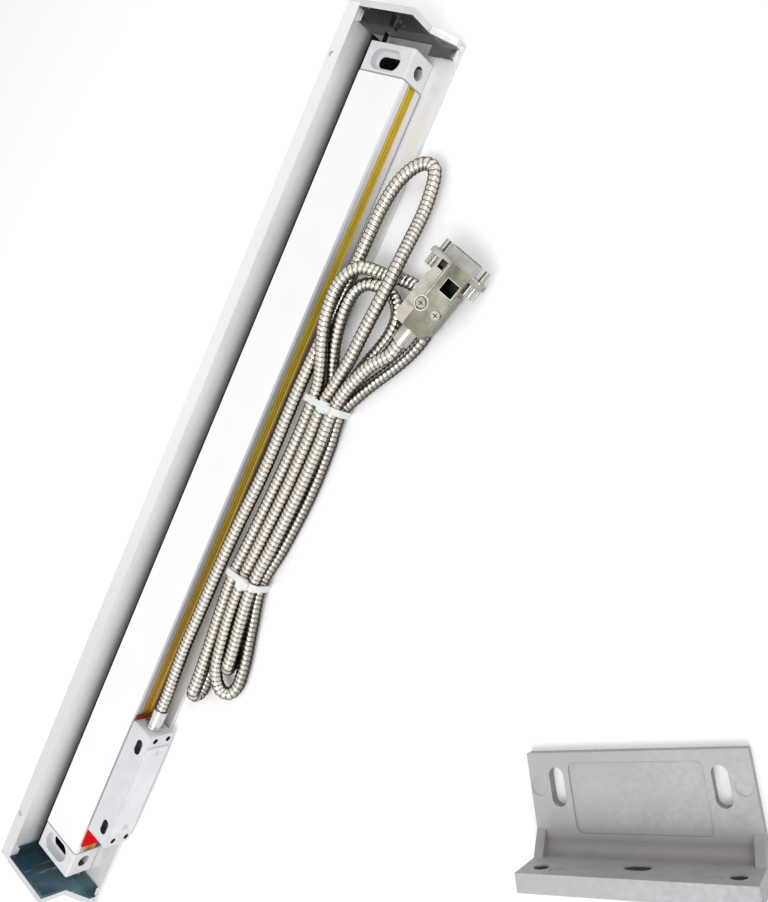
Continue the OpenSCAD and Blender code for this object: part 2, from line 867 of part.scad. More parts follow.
module reader_cover() {
    color("whitesmoke") difference() {
        translate([head_x - lid_l / 2, head_y0 - lid_proud, lid_z0])
            cube([lid_l, lid_t, lid_z1 - lid_z0]);
        for (side = [-1, 1]) {
            translate([head_x + side * lid_screw_x, head_y0 - 3, head_mid_z])
                rotate([-90, 0, 0]) cylinder(d = 2.1, h = 8);
            translate([
                head_x + side * lid_screw_x,
                head_y0 - lid_proud - eps, head_mid_z])
                rotate([-90, 0, 0]) cylinder(d1 = 4.2, d2 = 2.1, h = 1.1);
        }
    }
}

module reader_cover_screws() {
    color("silver") for (side = [-1, 1]) {
        translate([
            head_x + side * lid_screw_x, head_y0 - lid_proud,
            head_mid_z])
            rotate([-90, 0, 0]) difference() {
                union() {
                    cylinder(d1 = 4, d2 = 2, h = 1);
                    cylinder(d = 2, h = 5.4);
                }
                translate([-1.2, -0.2, -1]) cube([2.4, 0.4, 1.4]);
            }
    }
}

module circuit_board() {
    color("darkgreen") {
        translate([
            head_x - chamber_x + 0.5, board_y0, chamber_z0 + 0.5])
            cube([
                2 * chamber_x - 1, board_t, chamber_z1 - chamber_z0 - 1]);
        // two chips and a capacitor on the outer face
        for (part = [[-12, 7, 4], [2, 8, 5], [14, 3, 3]]) {
            translate([
                head_x + part.x - part.y / 2, board_y0 - 1.2,
                head_mid_z - part.z / 2])
                cube([part.y, 1.2 + eps, part.z]);
        }
    }
}

module cable_gland() {
    x1 = head_x + head_l / 2;
    color("silver") difference() {
        translate([x1, gland_y, gland_z]) rotate([0, 90, 0]) {
            cylinder(d = gland_base_d, h = gland_base_t);
            cylinder(d = ferrule_d, h = gland_base_t + ferrule_l);
            translate([0, 0, -6]) cylinder(d = gland_bore_d, h = 7);
        }
        translate([x1 - 7, gland_y, gland_z]) rotate([0, 90, 0])
            cylinder(d = 2.6, h = 40);
    }
}

module gland_set_screw() {
    color("dimgray") translate([head_x + head_l / 2, gland_y + 6.4, gland_z])
        rotate([0, 90, 0]) pan_screw(2.6, 1.2, 2, 3.4);
}

// Strip between head and body, with a pull tab folded out at its near end.
module transport_spacer() {
    near_x = head_x - head_l / 2;
    top_z = head_z1 - 1.3;
    color("red") {
        difference() {
            translate([near_x - 12.5, head_y1, head_z0 + 2])
                cube([head_l + 15, spacer_t, top_z - head_z0 - 2]);
            translate([
                head_x - blade_l / 2 - 0.4, head_y1 - 1,
                slot_z - blade_t / 2 - 0.3])
                cube([blade_l + 0.8, spacer_t + 2, blade_t + 0.6]);
        }
        translate([near_x - 0.4, head_y1 + spacer_t, top_z - spacer_t])
            linear_extrude(spacer_t) polygon([
                [0, 0], [-spacer_tab, 0],
                [-spacer_tab, -spacer_t], [0, -spacer_t - spacer_tab]]);
    }
}

// ---------------------------------------------------------------- lead

module cord_lead() {
    color("silver") translate([hank_shift, 0, 0])
        swept_tube(lead_route, cord_d);
}

module cord_tail() {
    color("silver") translate([hank_shift, 0, 0]) swept_tube(
        concat(tail_route, [for (k = [8, 4, 0]) conn_entry(k)]), cord_d);
}

// Section of the hank inside a tie, less t all round.
module tie_mouth(at, t) {
    round_rect(
        [at.y - at.z + t, tie_t + t],
        [2 * (at.z - t), hank_h - tie_t - 2 * t], tie_corner - t);
}

// The hank is pinched to the tie's mouth where a tie goes round it.
module tie_waist(at) {
    along_x(at.x - tie_w / 2 - tie_fit, tie_w + 2 * tie_fit) difference() {
        translate([at.y - 2 * at.z, -1]) square([4 * at.z, hank_h + 2]);
        tie_mouth(at, tie_fit);
    }
}

module cord_hank() {
    color("silver") translate([hank_shift, 0, 0]) difference() {
        union() {
            linear_extrude(hank_h) {
                polygon(hank_outline);
                translate([hank_foot.x, hank_foot.y]) circle(hank_foot.z);
            }
            linear_extrude(fan_h) polygon(fan_outline);
            linear_extrude(run_h) polygon(run_outline);
        }
        tie_waist(tie_near_at);
        tie_waist(tie_far_at);
    }
}

// A tie is a closed band round the hank with its locking head on top.
module tie(at) {
    translate([hank_shift, 0, 0]) {
        along_x(at.x - tie_w / 2, tie_w) difference() {
            round_rect(
                [at.y - at.z - tie_t, 0],
                [2 * (at.z + tie_t), hank_h + tie_t], tie_corner + tie_t);
            tie_mouth(at, 0);
        }
        // locking head with the cut end of the strap in it
        translate([at.x, at.y - at.z + tie_corner, hank_h + tie_t - eps]) {
            translate([-tie_head.x / 2, 0, 0]) cube(tie_head);
            translate([-tie_w / 2, -2, tie_head.z / 3])
                cube([tie_w, tie_head.y + 3, tie_t]);
        }
    }
}

module tie_near() {
    color("white") tie(tie_near_at);
}

module tie_far() {
    color("white") tie(tie_far_at);
}

// ---------------------------------------------------------------- connector

// Connector frame: X along its axis from the cable end, Z up.
module on_connector() {
    translate([conn_pos.x + hank_shift, conn_pos.y, conn_z])
        rotate([0, 0, conn_turn]) rotate([conn_roll, 0, 0]) children();
}

function hood_outline() = [
    [hood_x0, -hood_neck / 2], [hood_x0 + 4, -hood_half],
    [hood_x1 - hood_lug, -hood_half], [hood_x1 - hood_lug, -hood_w / 2],
    [hood_x1, -hood_w / 2], [hood_x1, hood_w / 2],
    [hood_x1 - hood_lug, hood_w / 2], [hood_x1 - hood_lug, hood_half],
    [hood_x0 + 4, hood_half], [hood_x0, hood_neck / 2]];

// Half of the hood; the children add what stands proud of its face.
module hood_shell() {
    half = hood_h / 2 - plateau_t;
    difference() {
        union() {
            linear_extrude(half) polygon(hood_outline());
            children();
        }
        // hollow for the solder side, between the two screw posts
        difference() {
            translate([hood_x0 + hood_wall, -bay_y + 1.1, -1]) cube([
                hood_l - hood_wall + 1, 2 * bay_y - 2.2,
                half - hood_wall + 1]);
            for (y = hood_screw_ys) translate([hood_screw_x, y, -2])
                cylinder(d = 5, h = hood_h);
        }
        // cable entry
        rotate([0, 90, 0]) cylinder(d = crimp_d - 2, h = hood_x0 + 4);
        // open bays of the jackscrews and their holes in the lugs
        for (side = [0, 1]) mirror([0, side, 0]) {
            translate([hood_x1 - hood_lug - bay_l, bay_y, -1])
                cube([bay_l, hood_w, hood_h]);
            translate([hood_x1 - hood_lug - 1, jack_x / 2, 0])
                rotate([0, 90, 0])
                cylinder(d = jack_d + 2 * run_gap, h = hood_lug + 2);
        }
        for (y = hood_screw_ys) translate([hood_screw_x, y, -1])
            cylinder(d = hood_screw_d + 2 * run_gap, h = hood_h);
    }
}

function raised_outline() = [
    [hood_x0 + 2, -hood_neck / 2], [hood_x0 + 4, -bay_y],
    [hood_x1, -bay_y], [hood_x1, raised_y], [raised_x, raised_y],
    [raised_x, bay_y], [hood_x0 + 4, bay_y], [hood_x0 + 2, hood_neck / 2]];

// Raised face of the upper half, notched round the screw beside its edge.
module raised_face() {
    linear_extrude(hood_h / 2) difference() {
        polygon(raised_outline());
        translate([hood_screw_x, hood_screw_ys[1]]) circle(d = notch_d);
    }
}

module hood_upper() {
    color("silver") on_connector() difference() {
        hood_shell() raised_face();
        translate([window_at.x, window_at.y, hood_h / 4])
            cube([window.x, window.y, hood_h]);
        translate([latch_slot_at.x, latch_slot_at.y, hood_h / 4])
            cube([latch_slot.x, latch_slot.y, hood_h]);
    }
}

module hood_lower() {
    color("silver") on_connector() mirror([0, 0, 1]) hood_shell()
        translate([hood_x0 + 2, -hood_neck / 2 + 1, 0])
        cube([plateau_l, hood_neck - 2, hood_h / 2]);
}

// One screw clamps on the raised face, the other in its notch.
module hood_screws() {
    drop = [0, plateau_t];
    color("silver") on_connector() for (k = [0, 1]) {
        translate([hood_screw_x, hood_screw_ys[k], hood_h / 2 - drop[k]])
            pan_screw(4.4, 1.3, hood_screw_d, hood_h - 1 - drop[k]);
    }
}

module crimp_ferrule() {
    color("silver") on_connector() rotate([0, 90, 0]) difference() {
        union() {
            cylinder(d = crimp_d, h = crimp_l);
            cylinder(d = crimp_d - 2, h = crimp_l + 3.6);
        }
        translate([0, 0, -1]) cylinder(d = 4, h = crimp_l + 8);
    }
}

// D-shaped outline: wide along the top, with sides leaning in.
module d_outline(w, h, lean) {
    polygon([
        [-w / 2, h / 2], [w / 2, h / 2],
        [w / 2 - lean, -h / 2], [-w / 2 + lean, -h / 2]]);
}

module across_connector(x) {
    translate([x, 0, 0]) rotate([90, 0, 90]) children();
}

module connector_shell() {
    color("silver") on_connector() difference() {
        union() {
            across_connector(hood_x1) linear_extrude(dflange_t) round_rect(
                [-dflange_w / 2, -dflange_h / 2],
                [dflange_w, dflange_h], 2);
            across_connector(hood_x1) linear_extrude(dflange_t + dshell_l)
                d_outline(19, 9.6, 1.6);
        }
        across_connector(hood_x1 + dflange_t) linear_extrude(dshell_l + 1)
            d_outline(18, 8.6, 1.6);
        across_connector(hood_x1 - 1) linear_extrude(dflange_t + 2)
            d_outline(16, 7, 1.4);
        for (side = [-1, 1]) translate([hood_x1 - 1, side * jack_x / 2, 0])
            rotate([0, 90, 0])
            cylinder(d = jack_d + 2 * run_gap, h = 4);
    }
}

pin_rows = [[5, 1.42], [4, -1.42]];

module at_pins() {
    for (row = pin_rows, k = [0 : row[0] - 1]) {
        translate([0, (k - (row[0] - 1) / 2) * 2.77, row[1]])
            rotate([0, 90, 0]) children();
    }
}

module connector_insert() {
    color("black") on_connector() difference() {
        across_connector(hood_x1 - 5) linear_extrude(6.6)
            d_outline(15.8, 6.8, 1.4);
        translate([hood_x1 - 6, 0, 0]) at_pins()
            cylinder(d = 1, h = 12, $fn = 16);
    }
}

module connector_pins() {
    color("gold") on_connector() translate([hood_x1 - 7, 0, 0])
        at_pins() cylinder(d = 1, h = 13, $fn = 16);
}

module jackscrew(side) {
    color("gray") on_connector() translate([
        hood_x1 - hood_lug - knob_l - 0.4, side * jack_x / 2, 0])
        rotate([0, 90, 0]) difference() {
            union() {
                cylinder(d = knob_d, h = knob_l);
                cylinder(
                    d = jack_d,
                    h = knob_l + 0.4 + hood_lug + dflange_t + dshell_l);
            }
            // screwdriver slot and the grooves of the knurl
            translate([-knob_d / 2 - 1, -0.5, -1]) cube([knob_d + 2, 1, 2]);
            for (k = [0 : knurl_n - 1]) rotate([0, 0, 360 * k / knurl_n])
                translate([knob_d / 2, 0, 1.2]) rotate([0, 0, 45])
                cube([0.6, 0.6, 2 * knob_l], center = true);
        }
}

module jackscrew_left() {
    jackscrew(1);
}

module jackscrew_right() {
    jackscrew(-1);
}

// ---------------------------------------------------------------- bracket

// Bracket frame: X across, Y up the slotted leg, Z out along the foot.
module on_bracket() {
    translate([bracket_pos.x, bracket_pos.y, 0])
        rotate([0, 0, bracket_turn - 90]) children();
}

module bracket_profile() {
    square([bracket_leg, bracket_leg_t]);
    square([bracket_foot_t, bracket_foot]);
    translate([bracket_foot_t, bracket_leg_t]) difference() {
        square(bracket_fillet);
        translate([bracket_fillet, bracket_fillet]) circle(bracket_fillet);
    }
}

module gusset_profile() {
    polygon([
        [bracket_foot_t - 1, bracket_leg_t - 1],
        [bracket_foot_t + 11, bracket_leg_t - 1],
        [bracket_foot_t - 1, bracket_leg_t + 9]]);
}

module mounting_bracket() {
    half = bracket_w / 2;
    color("lightgray") on_bracket() difference() {
        union() {
            translate([-half, 0, 0]) rotate([90, 0, 90])
                linear_extrude(bracket_w) bracket_profile();
            for (x = [-half, half - bracket_gusset]) translate([x, 0, 0])
                rotate([90, 0, 90]) linear_extrude(bracket_gusset)
                gusset_profile();
        }
        for (side = [-1, 1]) {
            translate([side * bracket_slot_x / 2, bracket_slot_v, -1])
                linear_extrude(bracket_leg_t + 2) rotate(90)
                slot_2d(bracket_slot_l, bracket_slot_w);
            translate([
                side * bracket_hole_x / 2, -1,
                bracket_foot - bracket_hole_inset])
                rotate([-90, 0, 0])
                cylinder(d = bracket_hole_d, h = bracket_foot_t + 2);
        }
        // ejector marks beside the slots and between the foot's holes
        for (side = [-1, 1]) {
            translate([
                side * (half - bracket_mark.x / 2 - 0.5), bracket_slot_v,
                bracket_leg_t - bracket_mark.y])
                cylinder(d = bracket_mark.x, h = 1);
            translate([
                side * bracket_hole_x * 0.39,
                bracket_foot_t - bracket_mark.y,
                bracket_foot - bracket_mark.x / 2 - 2])
                rotate([-90, 0, 0]) cylinder(d = bracket_mark.x, h = 1);
        }
        // centre slot of the foot
        translate([0, -1, bracket_foot - bracket_mid_inset])
            rotate([-90, 0, 0]) linear_extrude(bracket_foot_t + 2)
            slot_2d(bracket_mid_slot.x, bracket_mid_slot.y);
        // shallow panel in the inner face of the slotted leg
        translate([
            -bracket_panel_w / 2, bracket_foot_t + bracket_panel_margin + 2,
            bracket_leg_t - bracket_panel_d])
            linear_extrude(2) round_rect([0, 0], [
                bracket_panel_w,
                bracket_leg - bracket_foot_t - 2 * bracket_panel_margin], 3);
    }
}

dust_cover();
cover_cap_near();
cover_cap_far();
cap_screws();
scale_housing();
end_block_near();
end_block_far();
end_gaskets();
block_screws();
lip_seal_upper();
lip_seal_lower();
glass_scale();
glass_seat_strip();
reader_housing();
reader_cover();
reader_cover_screws();
circuit_board();
coupling_blade();
carriage();
light_source();
photo_sensor();
index_grating();
bearing_pins();
bearing_face_1();
bearing_face_2();
bearing_face_3();
bearing_edge_1();
bearing_edge_2();
cable_gland();
gland_set_screw();
transport_spacer();
cord_lead();
cord_hank();
cord_tail();
tie_near();
tie_far();
crimp_ferrule();
hood_upper();
hood_lower();
hood_screws();
connector_shell();
connector_insert();
connector_pins();
jackscrew_left();
jackscrew_right();
mounting_bracket();
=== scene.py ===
import json
import math

import bpy
from mathutils import Matrix, Vector


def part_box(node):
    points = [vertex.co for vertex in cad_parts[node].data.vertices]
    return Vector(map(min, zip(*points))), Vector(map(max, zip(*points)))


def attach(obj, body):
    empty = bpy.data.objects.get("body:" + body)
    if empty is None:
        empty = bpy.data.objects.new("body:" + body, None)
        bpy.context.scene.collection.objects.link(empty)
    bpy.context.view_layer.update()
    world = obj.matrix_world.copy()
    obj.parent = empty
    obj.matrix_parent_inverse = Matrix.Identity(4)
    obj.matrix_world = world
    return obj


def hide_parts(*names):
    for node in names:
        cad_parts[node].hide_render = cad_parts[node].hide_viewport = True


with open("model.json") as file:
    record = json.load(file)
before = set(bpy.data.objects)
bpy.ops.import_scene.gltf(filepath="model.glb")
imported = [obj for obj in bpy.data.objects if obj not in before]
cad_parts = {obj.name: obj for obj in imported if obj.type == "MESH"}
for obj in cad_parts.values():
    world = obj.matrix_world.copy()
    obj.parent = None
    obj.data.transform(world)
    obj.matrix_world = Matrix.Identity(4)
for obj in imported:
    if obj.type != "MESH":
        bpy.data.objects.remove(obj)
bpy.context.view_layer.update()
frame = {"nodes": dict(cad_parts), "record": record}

NODES = frame["nodes"]
MM = 0.001                       # metres in a millimetre

# ------------------------------------------------------------------ camera

CAMERA_AT = (0.1174, -0.3076, 0.3575)

cam_data = bpy.data.cameras.new("camera")
cam_data.sensor_fit = "VERTICAL"
cam_data.sensor_height = 36.0
cam_data.lens = 32.72
cam_data.clip_start = 0.01
cam = bpy.data.objects.new("camera", cam_data)
bpy.context.scene.collection.objects.link(cam)
right = Vector((0.4052, -0.7426, -0.5333)).normalized()
ahead = Vector((-0.1339, 0.5288, -0.8381)).normalized()
up = right.cross(ahead).normalized()
cam.matrix_world = Matrix((
    (right.x, up.x, -ahead.x, CAMERA_AT[0]),
    (right.y, up.y, -ahead.y, CAMERA_AT[1]),
    (right.z, up.z, -ahead.z, CAMERA_AT[2]),
    (0, 0, 0, 1)))
bpy.context.scene.camera = cam


# ------------------------------------------------------------------ helpers

def new_object(name, verts, faces, smooth=True):
    mesh = bpy.data.meshes.new(name)
    mesh.from_pydata([tuple(v) for v in verts], [], faces)
    mesh.update()
    obj = bpy.data.objects.new(name, mesh)
    bpy.context.scene.collection.objects.link(obj)
    for p in mesh.polygons:
        p.use_smooth = smooth
    return obj


def curve_through(points, step, parts=24):
    """Points every step along a smooth curve through the given ones.

    Each stretch between two of them is worked out in that many parts."""
    pts = [Vector(p) for p in points]
    pts = [pts[0] * 2 - pts[1]] + pts + [pts[-1] * 2 - pts[-2]]
    fine = []
    for i in range(1, len(pts) - 2):
        p0, p1, p2, p3 = pts[i - 1:i + 3]
        t1 = (p1 - p0).length ** 0.5
        t2 = t1 + (p2 - p1).length ** 0.5
        t3 = t2 + (p3 - p2).length ** 0.5
        for k in range(parts):
            t = t1 + (t2 - t1) * k / parts
            a1 = p0 * ((t1 - t) / t1) + p1 * (t / t1)
            a2 = p1 * ((t2 - t) / (t2 - t1)) + p2 * ((t - t1) / (t2 - t1))
            a3 = p2 * ((t3 - t) / (t3 - t2)) + p3 * ((t - t2) / (t3 - t2))
            b1 = a1 * ((t2 - t) / t2) + a2 * (t / t2)
            b2 = a2 * ((t3 - t) / (t3 - t1)) + a3 * ((t - t1) / (t3 - t1))
            f = (t - t1) / (t2 - t1)
            fine.append(b1 * ((t2 - t) / (t2 - t1)) + b2 * f)
    fine.append(pts[-2])
    dist = [0.0]
    for a, b in zip(fine, fine[1:]):
        dist.append(dist[-1] + (b - a).length)
    count = max(2, round(dist[-1] / step))
    out, j = [], 0
    for k in range(count + 1):
        want = dist[-1] * k / count
        while j < len(dist) - 2 and dist[j + 1] < want:
            j += 1
        f = (want - dist[j]) / max(dist[j + 1] - dist[j], 1e-9)
        out.append(fine[j].lerp(fine[j + 1], min(max(f, 0), 1)))
    return out, dist[-1]


def frames_along(path):
    """A direction and two side vectors at each point, with no twist."""
    last = len(path) - 1
    dirs = []
    for i in range(len(path)):
        step = path[min(i + 1, last)] - path[max(i - 1, 0)]
        dirs.append(step.normalized())
    side = dirs[0].cross(Vector((0, 0, 1))).normalized()
    out = []
    for d in dirs:
        side = (side - d * side.dot(d)).normalized()
        out.append((d, side, d.cross(side)))
    return out


# ------------------------------------------------------------------ conduit

CORD_D = 7.4     # over the ribs, mm
RIB = 2.65       # pitch of the wound ribs, mm
GROOVE = 0.55    # depth between two ribs, mm
CROWN = 0.7      # how full a rib is; less is fuller
SIDES = 14
PER_RIB = 5      # rings of the mesh for each rib

CONNECTOR_AT = (114.8, -74.1, 15.6)    # where the conduit goes in, mm
CONNECTOR_TURN = (20, 0, -18)          # degrees
yaw = math.radians(CONNECTOR_TURN[2])
connector_dir = Vector((math.cos(yaw), math.sin(yaw), 0))


def entry(k):
    """The point k millimetres before the connector, on its axis."""
    return tuple(Vector(CONNECTOR_AT) - connector_dir * k)


lead = [
    (-132.5, -23.9, 13), (-124.5, -23.9, 13), (-108, -23.9, 14.2),
    (-90, -23.9, 15.4), (-70, -24.1, 15.6), (-48, -24, 15.6),
    (-26, -24.3, 15.6), (-6, -25.2, 15.6), (14, -26.4, 15.6),
    (34, -26.6, 15.6), (54, -26.2, 15.6), (74, -25.8, 15.2),
    (94, -25.8, 14.4), (112, -26.2, 13.4), (130, -26.3, 12.6),
    (146, -26.2, 12.4), (160, -26.4, 12.4), (174, -27, 12.4),
    (186.5, -29, 12.2), (194, -31.8, 11.8), (200, -35.6, 11),
    (203.4, -40.4, 9.8), (202.6, -45, 8.6), (198, -47.3, 8),
    (190, -48.6, 7.6), (180.5, -49.8, 8), (172, -50.7, 9.6),
    (163, -52.3, 12.6), (151.5, -54.2, 16.2), (138.7, -54.6, 17.5),
    (124.6, -53.3, 17.5), (110.3, -51, 16), (96, -48.6, 14),
    (83, -45.5, 12.6)]

# the six tied passes, in mm, from the far tie to the near end
pass_b = [
    (68, -42.9, 12.2), (48, -43, 12), (20, -43, 12), (-14, -41.2, 12),
    (-38, -40.3, 12.2), (-60, -41.2, 11.8), (-80, -44.6, 11.8)]
pass_d = [
    (68, -50.6, 5.1), (48, -52, 3.9), (20, -53, 3.9), (-14, -50.5, 3.9),
    (-38, -47.8, 5.1), (-60, -52.4, 3.9), (-80, -58, 3.9)]
pass_a = [
    (68, -35.4, 12.2), (48, -35.5, 11.6), (20, -35, 11.6),
    (-14, -33.6, 11.6), (-38, -32.9, 12.2), (-60, -33.8, 11.5),
    (-80, -36.2, 11.5), (-95, -37.6, 11.4)]
pass_e = [
    (68, -35.6, 5.1), (48, -36.8, 3.9), (20, -37.6, 3.9), (-14, -35.2, 3.9),
    (-38, -33, 5.1), (-60, -35, 3.9), (-80, -37.5, 3.9),
    (-95, -38.4, 3.9)]
pass_f = [
    (68, -43.1, 5.1), (48, -44.4, 3.9), (20, -45.3, 3.9),
    (-14, -42.8, 3.9), (-38, -40.4, 5.1), (-60, -43.6, 3.9),
    (-78, -48, 3.9)]
pass_c = [
    (68, -50.4, 12.2), (48, -50.5, 11.2), (20, -50.4, 11),
    (-14, -48.6, 11), (-38, -47.7, 12.2), (-60, -49.5, 11),
    (-78, -52.5, 10.8)]
# the three turns at the near end
foot_1 = [
    (-90, -46.8, 11.4), (-97, -50, 10), (-101, -54, 7.8),
    (-100.5, -58, 5.4), (-95, -60, 4), (-87, -59.4, 3.9)]
foot_2 = [
    (-106, -38.5, 11.4), (-110.3, -38.5, 11.4), (-112.9, -38.6, 10.3),
    (-114, -38.7, 7.6), (-112.9, -38.8, 5), (-110.3, -38.8, 3.9),
    (-106, -38.8, 3.9)]
foot_3 = [
    (-84.5, -50.4, 3.9), (-87.1, -51, 4.9), (-88.2, -52.1, 7.4),
    (-87.1, -53, 9.8), (-84.5, -53.2, 10.8)]
# the two loops at the far end
loop_b = [
    (79.8, -55.4, 3.9), (90, -61.6, 3.9), (101.5, -69.3, 3.9),
    (112.2, -75.2, 3.9), (121.8, -78.4, 3.9), (131.5, -78.4, 3.9),
    (138.2, -74.2, 3.9), (142.6, -67.1, 4.5), (144.5, -59.3, 6.3),
    (144.3, -51.4, 8.5), (143.4, -44.8, 11.4), (143, -39.9, 15.5),
    (141.5, -34.8, 19), (136.7, -30.5, 21), (128.4, -27.4, 21.4),
    (118.8, -27.2, 21.2), (108.3, -28.4, 20.6), (98, -30.6, 18.6),
    (88, -33, 15.8), (78, -34.6, 13)]
loop_c = [
    (80, -37, 5.5), (90, -35.4, 9), (100.5, -34, 12.5),
    (112.3, -33.4, 15), (121.6, -33.2, 15.5), (130, -34.2, 14.5),
    (135, -37.8, 13), (136.6, -43.8, 11.4), (136, -51, 9.6),
    (132.2, -57, 8), (125.6, -60.3, 7), (117.3, -60.5, 6.5),
    (107.9, -57.8, 6), (98.3, -53.5, 5.2), (88.5, -50, 4.4),
    (79, -47.2, 3.9)]
tail = [(80, -53.4, 13.2), (89, -58, 14.6), (98, -63.2, 15.4)]

route = (
    lead + pass_b + foot_1 + pass_d[::-1] + loop_b + pass_a + foot_2
    + pass_e[::-1] + loop_c + pass_f + foot_3 + pass_c[::-1] + tail
    + [entry(8), entry(4), entry(0)])

rings, cord_length = curve_through(route, RIB / PER_RIB)
ribs_in_step = cord_length / (len(rings) - 1) / RIB


def wound_tube(name):
    """The tube along the rings, with its ribs wound round as a spiral."""
    verts, faces = [], []
    for i, (p, (_, u, w)) in enumerate(zip(rings, frames_along(rings))):
        for k in range(SIDES):
            turn = k / SIDES
            phase = (i * ribs_in_step + turn) % 1.0
            low = GROOVE * (1 - math.sin(math.pi * phase) ** CROWN)
            a = 2 * math.pi * turn
            side = u * math.cos(a) + w * math.sin(a)
            verts.append((p + side * (CORD_D / 2 - low)) * MM)
    last = (len(rings) - 1) * SIDES
    for i in range(0, last, SIDES):
        for k in range(SIDES):
            j = (k + 1) % SIDES
            faces.append((i + k, i + j, i + SIDES + j, i + SIDES + k))
    faces.append(tuple(range(SIDES - 1, -1, -1)))
    faces.append(tuple(last + k for k in range(SIDES)))
    return new_object(name, verts, faces)


def unroll(tube):
    """UV: one unit across for each rib, one unit up once round."""
    uv = tube.data.uv_layers.new(name="UVMap")
    for poly in tube.data.polygons:
        columns = [v % SIDES for v in poly.vertices]
        seam = len(columns) == 4 and SIDES - 1 in columns
        for li in poly.loop_indices:
            i, k = divmod(tube.data.loops[li].vertex_index, SIDES)
            if seam and k == 0:
                k = SIDES
            uv.data[li].uv = (i * ribs_in_step + k / SIDES, k / SIDES)


conduit = wound_tube("armoured_conduit")
unroll(conduit)
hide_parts("cord_lead", "cord_hank", "cord_tail")
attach(conduit, "reader")


# --------------------------------------------------------------- lip edges

LIP_SHOWS = 2.5 * MM    # height of each lip that shows in the slot
FILM_FRONT = 0.25 * MM  # from the face of the lips back to each film
FILM_BACK = 0.4 * MM
SLIT_HALF = 0.02 * MM   # half the slit that the films leave open
LAP = 0.05 * MM         # how far a film reaches into its lip


def lip_edges():
    """Thin films at the edges of the two lips, which meet in the slit."""
    low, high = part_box("lip_seal_upper")
    top = low[2]
    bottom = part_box("lip_seal_lower")[1][2]
    middle = (top + bottom) / 2
    front, back = low[1] + FILM_FRONT, low[1] + FILM_BACK
    verts, faces = [], []
    for inner, outer in ((middle + SLIT_HALF, top + LAP),
                         (middle - SLIT_HALF, bottom - LAP)):
        n = len(verts)
        z0, z1 = sorted((inner, outer))
        for x in (low[0] + MM, high[0] - MM):
            verts += [(x, front, z0), (x, back, z0),
                      (x, back, z1), (x, front, z1)]
        faces += [(n, n + 3, n + 2, n + 1), (n + 4, n + 5, n + 6, n + 7)]
        for k in range(4):
            m = (k + 1) % 4
            faces.append((n + k, n + m, n + 4 + m, n + 4 + k))
    return new_object("lip_edges", verts, faces, smooth=False)


lip_edge = lip_edges()


# ------------------------------------------------------------ shader groups

def group(name, inputs, outputs):
    """A shader node group with named inputs and outputs."""
    tree = bpy.data.node_groups.new(name, "ShaderNodeTree")
    for label, value in inputs:
        kind = "NodeSocketVector" if value == "vector" else "NodeSocketFloat"
        sock = tree.interface.new_socket(
            name=label, in_out="INPUT", socket_type=kind)
        if kind == "NodeSocketFloat":
            sock.default_value = value
    for label in outputs:
        tree.interface.new_socket(
            name=label, in_out="OUTPUT", socket_type="NodeSocketFloat")
    return tree, tree.nodes.new("NodeGroupInput"), \
        tree.nodes.new("NodeGroupOutput")


def fine_grain_group():
    """Soft uneven skin: a coarse drift and a fine speckle, both 0 to 1."""
    tree, gin, gout = group(
        "fine_grain", [("Vector", "vector"), ("Coarse", 60.0),
                       ("Fine", 900.0)], ["Drift", "Speckle"])
    for label, out, detail in (
            ("Coarse", "Drift", 3.0), ("Fine", "Speckle", 2.0)):
        noise = tree.nodes.new("ShaderNodeTexNoise")
        noise.inputs["Detail"].default_value = detail
        tree.links.new(gin.outputs["Vector"], noise.inputs["Vector"])
        tree.links.new(gin.outputs[label], noise.inputs["Scale"])
        tree.links.new(noise.outputs["Fac"], gout.inputs[out])
    return tree


def drawn_lines_group():
    """Long fine die lines that run along X, 0 to 1."""
    tree, gin, gout = group(
        "drawn_lines", [("Vector", "vector"), ("Scale", 1.0)], ["Lines"])
    stretch = tree.nodes.new("ShaderNodeVectorMath")
    stretch.operation = "MULTIPLY"
    stretch.inputs[1].default_value = (6.0, 1400.0, 1400.0)
    noise = tree.nodes.new("ShaderNodeTexNoise")
    noise.inputs["Detail"].default_value = 3.0
    tree.links.new(gin.outputs["Vector"], stretch.inputs[0])
    tree.links.new(stretch.outputs["Vector"], noise.inputs["Vector"])
    tree.links.new(gin.outputs["Scale"], noise.inputs["Scale"])
    tree.links.new(noise.outputs["Fac"], gout.inputs["Lines"])
    return tree


def inside_box_group():
    """1 inside a box given by its centre and its half size, 0 outside."""
    tree, gin, gout = group(
        "inside_box", [("Vector", "vector"), ("Centre", "vector"),
                       ("Half", "vector")], ["Mask"])
    last = gin.outputs["Vector"]
    for operation, label in (
            ("SUBTRACT", "Centre"), ("DIVIDE", "Half"), ("ABSOLUTE", None)):
        made = tree.nodes.new("ShaderNodeVectorMath")
        made.operation = operation
        tree.links.new(last, made.inputs[0])
        if label:
            tree.links.new(gin.outputs[label], made.inputs[1])
        last = made.outputs["Vector"]
    split = tree.nodes.new("ShaderNodeSeparateXYZ")
    tree.links.new(last, split.inputs[0])
    far = split.outputs["X"]
    for label in "YZ":
        most = tree.nodes.new("ShaderNodeMath")
        most.operation = "MAXIMUM"
        tree.links.new(far, most.inputs[0])
        tree.links.new(split.outputs[label], most.inputs[1])
        far = most.outputs[0]
    near = tree.nodes.new("ShaderNodeMath")
    near.operation = "LESS_THAN"
    near.inputs[1].default_value = 1.0
    tree.links.new(far, near.inputs[0])
    tree.links.new(near.outputs[0], gout.inputs["Mask"])
    return tree


